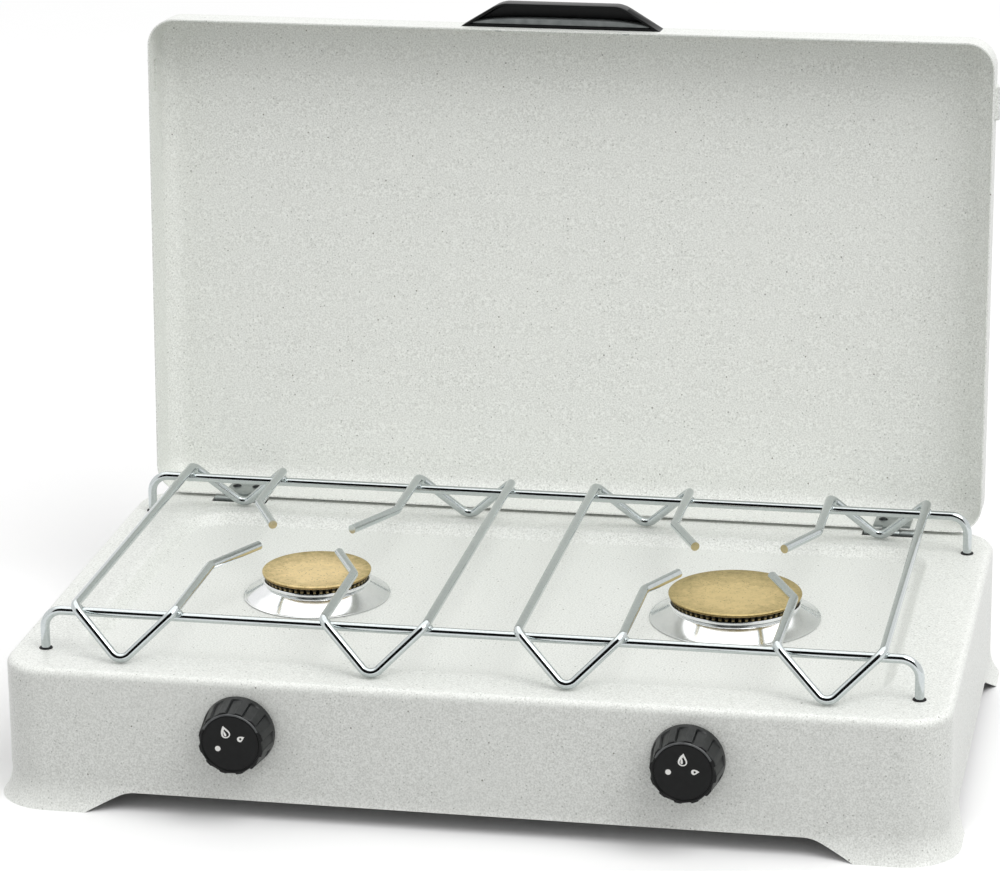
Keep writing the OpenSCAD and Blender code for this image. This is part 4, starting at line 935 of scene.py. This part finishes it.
def handle():
    """Moulded pull: a tapering block whose finger hollow opens towards the rim, over a sill painted light
    grey as if lit.
    """
    pull = bmesh.new()
    corners = [(-HANDLE_HEAD, -HANDLE_REACH, HANDLE_R), (HANDLE_HEAD, -HANDLE_REACH, HANDLE_R)]
    outline(pull, [(-HANDLE_FOOT, 0, 0)] + corners + [(HANDLE_FOOT, 0, 0)], 10)
    thicken(pull, HANDLE_DEPTH)
    low = min(pull.faces, key=lambda face: face.calc_center_median().z)
    bmesh.ops.inset_region(pull, faces=[low], thickness=HANDLE_WALL, use_even_offset=True)
    bmesh.ops.inset_region(pull, faces=[low], thickness=HOLLOW_DRAFT, depth=-HOLLOW_DEPTH,
                           use_even_offset=True)
    outer = [edge for edge in pull.edges if all(vert.co.y < -0.5 for vert in edge.verts)]
    sharp = [edge for edge in outer if edge.calc_face_angle() > math.radians(40)]
    bevelled(pull, sharp, 0.6, 3, "EDGES")

    # The sill is a low arch that covers the screw bosses
    sill = bmesh.new()
    rise = [(x, -2.4 - 2.6 * (1 - abs(x / SILL_X) ** 4), 0) for x in range(-SILL_X, SILL_X + 1, 2)]
    outline(sill, [(-SILL_X, -1.7, 0)] + rise + [(SILL_X, -1.7, 0)], 1)
    thicken(sill, 8.0)
    placed(soften(sill, 0.5, 40), moved(0, 0, 1.4))
    # The sill takes the grey plastic: painted light standing in for light on the hollow's floor
    for face in sill.faces:
        face.material_index = 1
    place = OPEN @ moved(HANDLE_X, LID_FRONT, HANDLE_Z)
    shape = placed(joined([pull, sill]), place)
    finish("handle_pull", shape, "lid", [ABS, ABS_SILL_LIT], ["lid_handle"], 40)


def pan_screw(place, radius, height):
    """Slotted dome head on its shank; the head points along +Z."""
    head = turned([(0, height), (radius * 0.45, height * 0.97), (radius * 0.8, height * 0.78),
                   (radius * 0.97, height * 0.4), (radius, 0), (1.6, 0), (1.6, -4), (0, -4)], 40)
    slot = block((-radius - 1, -0.4, height * 0.55), (radius + 1, 0.4, height + 1))
    return placed(pierced(head, [slot]), place)


def dome_rivet(place, gap):
    """Rivet through sheets gap thick: a domed head at the bottom, an upset tail on top."""
    return turned([(0, -1.1), (1.2, -1.0), (2.2, -0.6), (2.7, 0), (1.6, 0), (1.6, gap), (2.5, gap),
                   (2.6, gap + 0.4), (1.8, gap + 0.8), (0, gap + 0.8)], 32, place)


def fasteners():
    inward = rotated(-90, "X")
    screws = []
    for side in (-1, 1):
        end = OPEN @ moved(HANDLE_X + side * SCREW_X, LID_FRONT + SHEET, SCREW_Z)
        screws.append(pan_screw(end @ inward @ rotated(SCREW_TURN * side, "Z"), SCREW_R, SCREW_H))
    finish("handle_pan_screws", joined(screws), "lid", [ZINC], ["handle_screws"], 40)
    across = [side * HINGE_X + shift for side in (-1, 1) for shift in (-RIVET_X, RIVET_X)]
    on_lid = joined([dome_rivet(OPEN @ moved(x, *LID_RIVET) @ inward, RIVET_GRIP) for x in across])
    finish("lid_dome_rivets", on_lid, "lid", [BLACKED], ["lid_rivets"], 40)
    on_casing = joined([dome_rivet(moved(x, *BASE_RIVET) @ inward, RIVET_GRIP) for x in across])
    finish("base_dome_rivets", on_casing, "casing", [BLACKED], ["base_rivets"], 40)


lid()
handle()
fasteners()


# Gas line, taps and hinges

def inlet():
    """Brass bulkhead fitting: socket, hexagon, and a male thread behind the rear wall."""
    place = moved(INLET_X, 0, INLET_Z) @ rotated(-90, "X")
    body = turned([(5.1, 126.2), (7.5, 126.2), (7.5, 146.2), (3, 146.2), (3, 136.2), (5.1, 136.2),
                   (5.1, 126.2)], 48, place)
    hexagon = bmesh.new()
    bmesh.ops.create_cone(hexagon, cap_ends=True, segments=6, radius1=10.58, radius2=10.58, depth=8,
                          matrix=moved(0, 0, 150.2))
    soften(hexagon, 0.5)
    core = turned([(3, 154), (6.3, 154), (6.3, 159), (5.75, 159.4), (5.75, 172.4), (5.2, 173), (3.4, 173),
                   (3, 172.6), (3, 154)], 48, place)
    # The thread is a V ridge carried up a helix
    pitch = 1.337
    thread = bmesh.new()
    ridge = [thread.verts.new(point) for point in ((5.7, 0, 159.2), (6.5, 0, 159.75), (5.7, 0, 160.3))]
    edges = [thread.edges.new(pair) for pair in zip(ridge, ridge[1:])]
    turns = 9
    steps = 36
    bmesh.ops.spin(thread, geom=ridge + edges, axis=(0, 0, 1), cent=(0, 0, 0), dvec=(0, 0, pitch / steps),
                   angle=TURN * turns, steps=turns * steps)
    bmesh.ops.recalc_face_normals(thread, faces=thread.faces)
    whole = joined([body, placed(hexagon, place), core, placed(thread, place)])
    finish("inlet_fitting", whole, "casing", [FITTING], ["gas_inlet"], 40)


inlet()

# Inner and small pieces keep their CAD shape, with eased edges: nodes, edge rounding, slot and material
EASED = [
    (("left_burner_bowl", "right_burner_bowl"), 0.6, "cast_alloy", CAST),
    (("left_venturi", "right_venturi"), 0.15, "zinc_steel", ZINC),
    (("left_injector", "right_injector"), 0.15, "brass_fitting", FITTING),
    (("burner_screws", "clamp_screws"), 0.3, "zinc_steel", ZINC),
    (("left_tap_body", "right_tap_body"), 0.3, "brass_fitting", FITTING),
    (("left_spindle", "right_spindle"), 0.2, "zinc_steel", ZINC),
    (("left_thrust_washer", "right_thrust_washer"), 0.15, "zinc_steel", ZINC),
    (("gas_manifold", "tap_clamps"), 0.2, "zinc_steel", ZINC),
    (("manifold_brackets",), 0.3, "zinc_steel", ZINC),
    (("inlet_locknut",), 0.4, "zinc_steel", ZINC),
    (("left_hinge_base", "right_hinge_base"), 0.2, "zinc_steel", ZINC),
    (("left_hinge_leaf", "right_hinge_leaf"), 0.2, "zinc_steel", ZINC),
    (("left_hinge_pin", "right_hinge_pin"), 0.2, "zinc_steel", ZINC),
]
for nodes, width, slot, material in EASED:
    for node in nodes:
        finish(node + "_eased", soften(cad_copy(node), width), body_of(node), [material], [node])


def knob_spring(side):
    """Return spring round a spindle; it shortens towards the tap as the knob is pressed."""
    node = side + "_knob_spring"
    low, high = (Vector(corner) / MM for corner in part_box(node))
    middle = (low + high) / 2
    length = high.y - low.y
    coil = bmesh.new()
    reach = (high.x - low.x) / 2 - SPRING_WIRE
    ring = bmesh.ops.create_circle(coil, segments=12, radius=SPRING_WIRE,
                                   matrix=moved(reach, 0, SPRING_WIRE) @ rotated(90, "X"))
    steps = SPRING_TURNS * 24
    bmesh.ops.spin(coil, geom=ring["verts"] + coil.edges[:], axis=(0, 0, 1), cent=(0, 0, 0), steps=steps,
                   angle=TURN * SPRING_TURNS, dvec=(0, 0, (length - 2 * SPRING_WIRE) / steps))
    bmesh.ops.holes_fill(coil, edges=coil.edges)
    bmesh.ops.recalc_face_normals(coil, faces=coil.faces)
    placed(coil, moved(middle.x, low.y, middle.z) @ rotated(-90, "X"))
    piece = finish(node + "_coil", coil, body_of(node), [ZINC], [node])
    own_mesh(piece)


knob_spring("left")
knob_spring("right")


# Floor, light and camera

def floor():
    """Pale paper that shows white to the camera and to metal, and keeps the shadow.

    To all other light it is grey, so that it throws less up under the stove.
    """
    shape = bmesh.new()
    bmesh.ops.create_grid(shape, x_segments=1, y_segments=1, size=FLOOR_HALF)
    mesh = bpy.data.meshes.new("floor")
    shape.to_mesh(mesh)
    shape.free()
    paper, tree, place = begin("matt_white_paper")
    path = add(tree, "LightPath")
    seen = add(tree, "Math", {0: path.outputs["Is Camera Ray"], 1: path.outputs["Is Glossy Ray"]},
               operation="MAXIMUM")
    fibre = add(tree, "TexNoise", {"Vector": place, "Scale": per(400), "Detail": 2.0})
    shade = blend(tree, fibre.outputs[0], linear("#FCFCFC"), linear("#FFFFFF"))
    shade = blend(tree, seen.outputs[0], linear("#8C8C8C"), shade)
    matt = add(tree, "BsdfDiffuse", {"Color": shade})
    add(tree, "OutputMaterial", {"Surface": matt.outputs[0]})
    mesh.materials.append(paper)
    sheet = bpy.data.objects.new("floor", mesh)
    bpy.context.collection.objects.link(sheet)


def surround():
    """White room; metal and gloss mirror a bright ceiling, and the dark behind a photographer."""
    world = bpy.data.worlds.new("studio")
    world.use_nodes = True
    # The room is not sampled as a lamp: rays that leave the scene find it
    world.cycles.sampling_method = "NONE"
    tree = world.node_tree
    tree.nodes.clear()
    path = add(tree, "LightPath")
    look = add(tree, "TexCoord").outputs["Generated"]
    facing = add(tree, "VectorMath", {0: look, 1: DARK_SIDE}, operation="DOT_PRODUCT")
    dark = add(tree, "MapRange", {"Value": facing.outputs["Value"], "From Min": DARK_EDGE[0],
                                  "From Max": DARK_EDGE[1], "To Min": 1.0, "To Max": DARK_LEVEL})
    over = add(tree, "VectorMath", {0: look, 1: CEILING}, operation="DOT_PRODUCT")
    bright = add(tree, "MapRange", {"Value": over.outputs["Value"], "From Min": CEILING_EDGE[0],
                                    "From Max": CEILING_EDGE[1], "To Min": 1.0, "To Max": CEILING_LEVEL})
    mirrored = add(tree, "Math", {0: dark.outputs[0], 1: bright.outputs[0]}, operation="MULTIPLY")
    level = add(tree, "Mix", {0: path.outputs["Is Glossy Ray"], 2: ROOM_LEVEL, 3: mirrored.outputs[0]})
    level = add(tree, "Mix", {0: path.outputs["Is Camera Ray"], 2: level.outputs[0], 3: 1.0})
    glow = add(tree, "Background", {"Color": linear("#FFFFFF"), "Strength": level.outputs[0]})
    add(tree, "OutputWorld", {"Surface": glow.outputs[0]})
    bpy.context.scene.world = world


def softbox(name, place, aim, size, energy):
    lamp = bpy.data.lights.new(name, "AREA")
    lamp.shape = "DISK"
    lamp.size = size
    lamp.energy = energy
    box = bpy.data.objects.new(name, lamp)
    turn = (Vector(place) - Vector(aim)).to_track_quat("Z", "Y").to_matrix().to_4x4()
    box.matrix_world = Matrix.Translation(place) @ turn
    bpy.context.collection.objects.link(box)


def camera():
    azimuth, elevation, roll = (math.radians(angle) for angle in (AZIMUTH, ELEVATION, ROLL))
    level = math.cos(elevation)
    back = Vector((math.sin(azimuth) * level, -math.cos(azimuth) * level, math.sin(elevation)))
    right = Vector((math.cos(azimuth), math.sin(azimuth), 0))
    up = back.cross(right)
    across = right * math.cos(roll) + up * math.sin(roll)
    above = up * math.cos(roll) - right * math.sin(roll)
    lens = bpy.data.cameras.new("camera")
    lens.sensor_fit = "HORIZONTAL"
    lens.sensor_width = SENSOR
    lens.lens = LENS
    view = bpy.data.objects.new("camera", lens)
    view.matrix_world = moved(*EYE) @ Matrix((across, above, back)).transposed().to_4x4()
    bpy.context.collection.objects.link(view)
    bpy.context.scene.camera = view


floor()
surround()
softbox("key_softbox", KEY_PLACE, KEY_AIM, KEY_SIZE, KEY_POWER)
camera()
bpy.context.scene.view_settings.view_transform = "Standard"
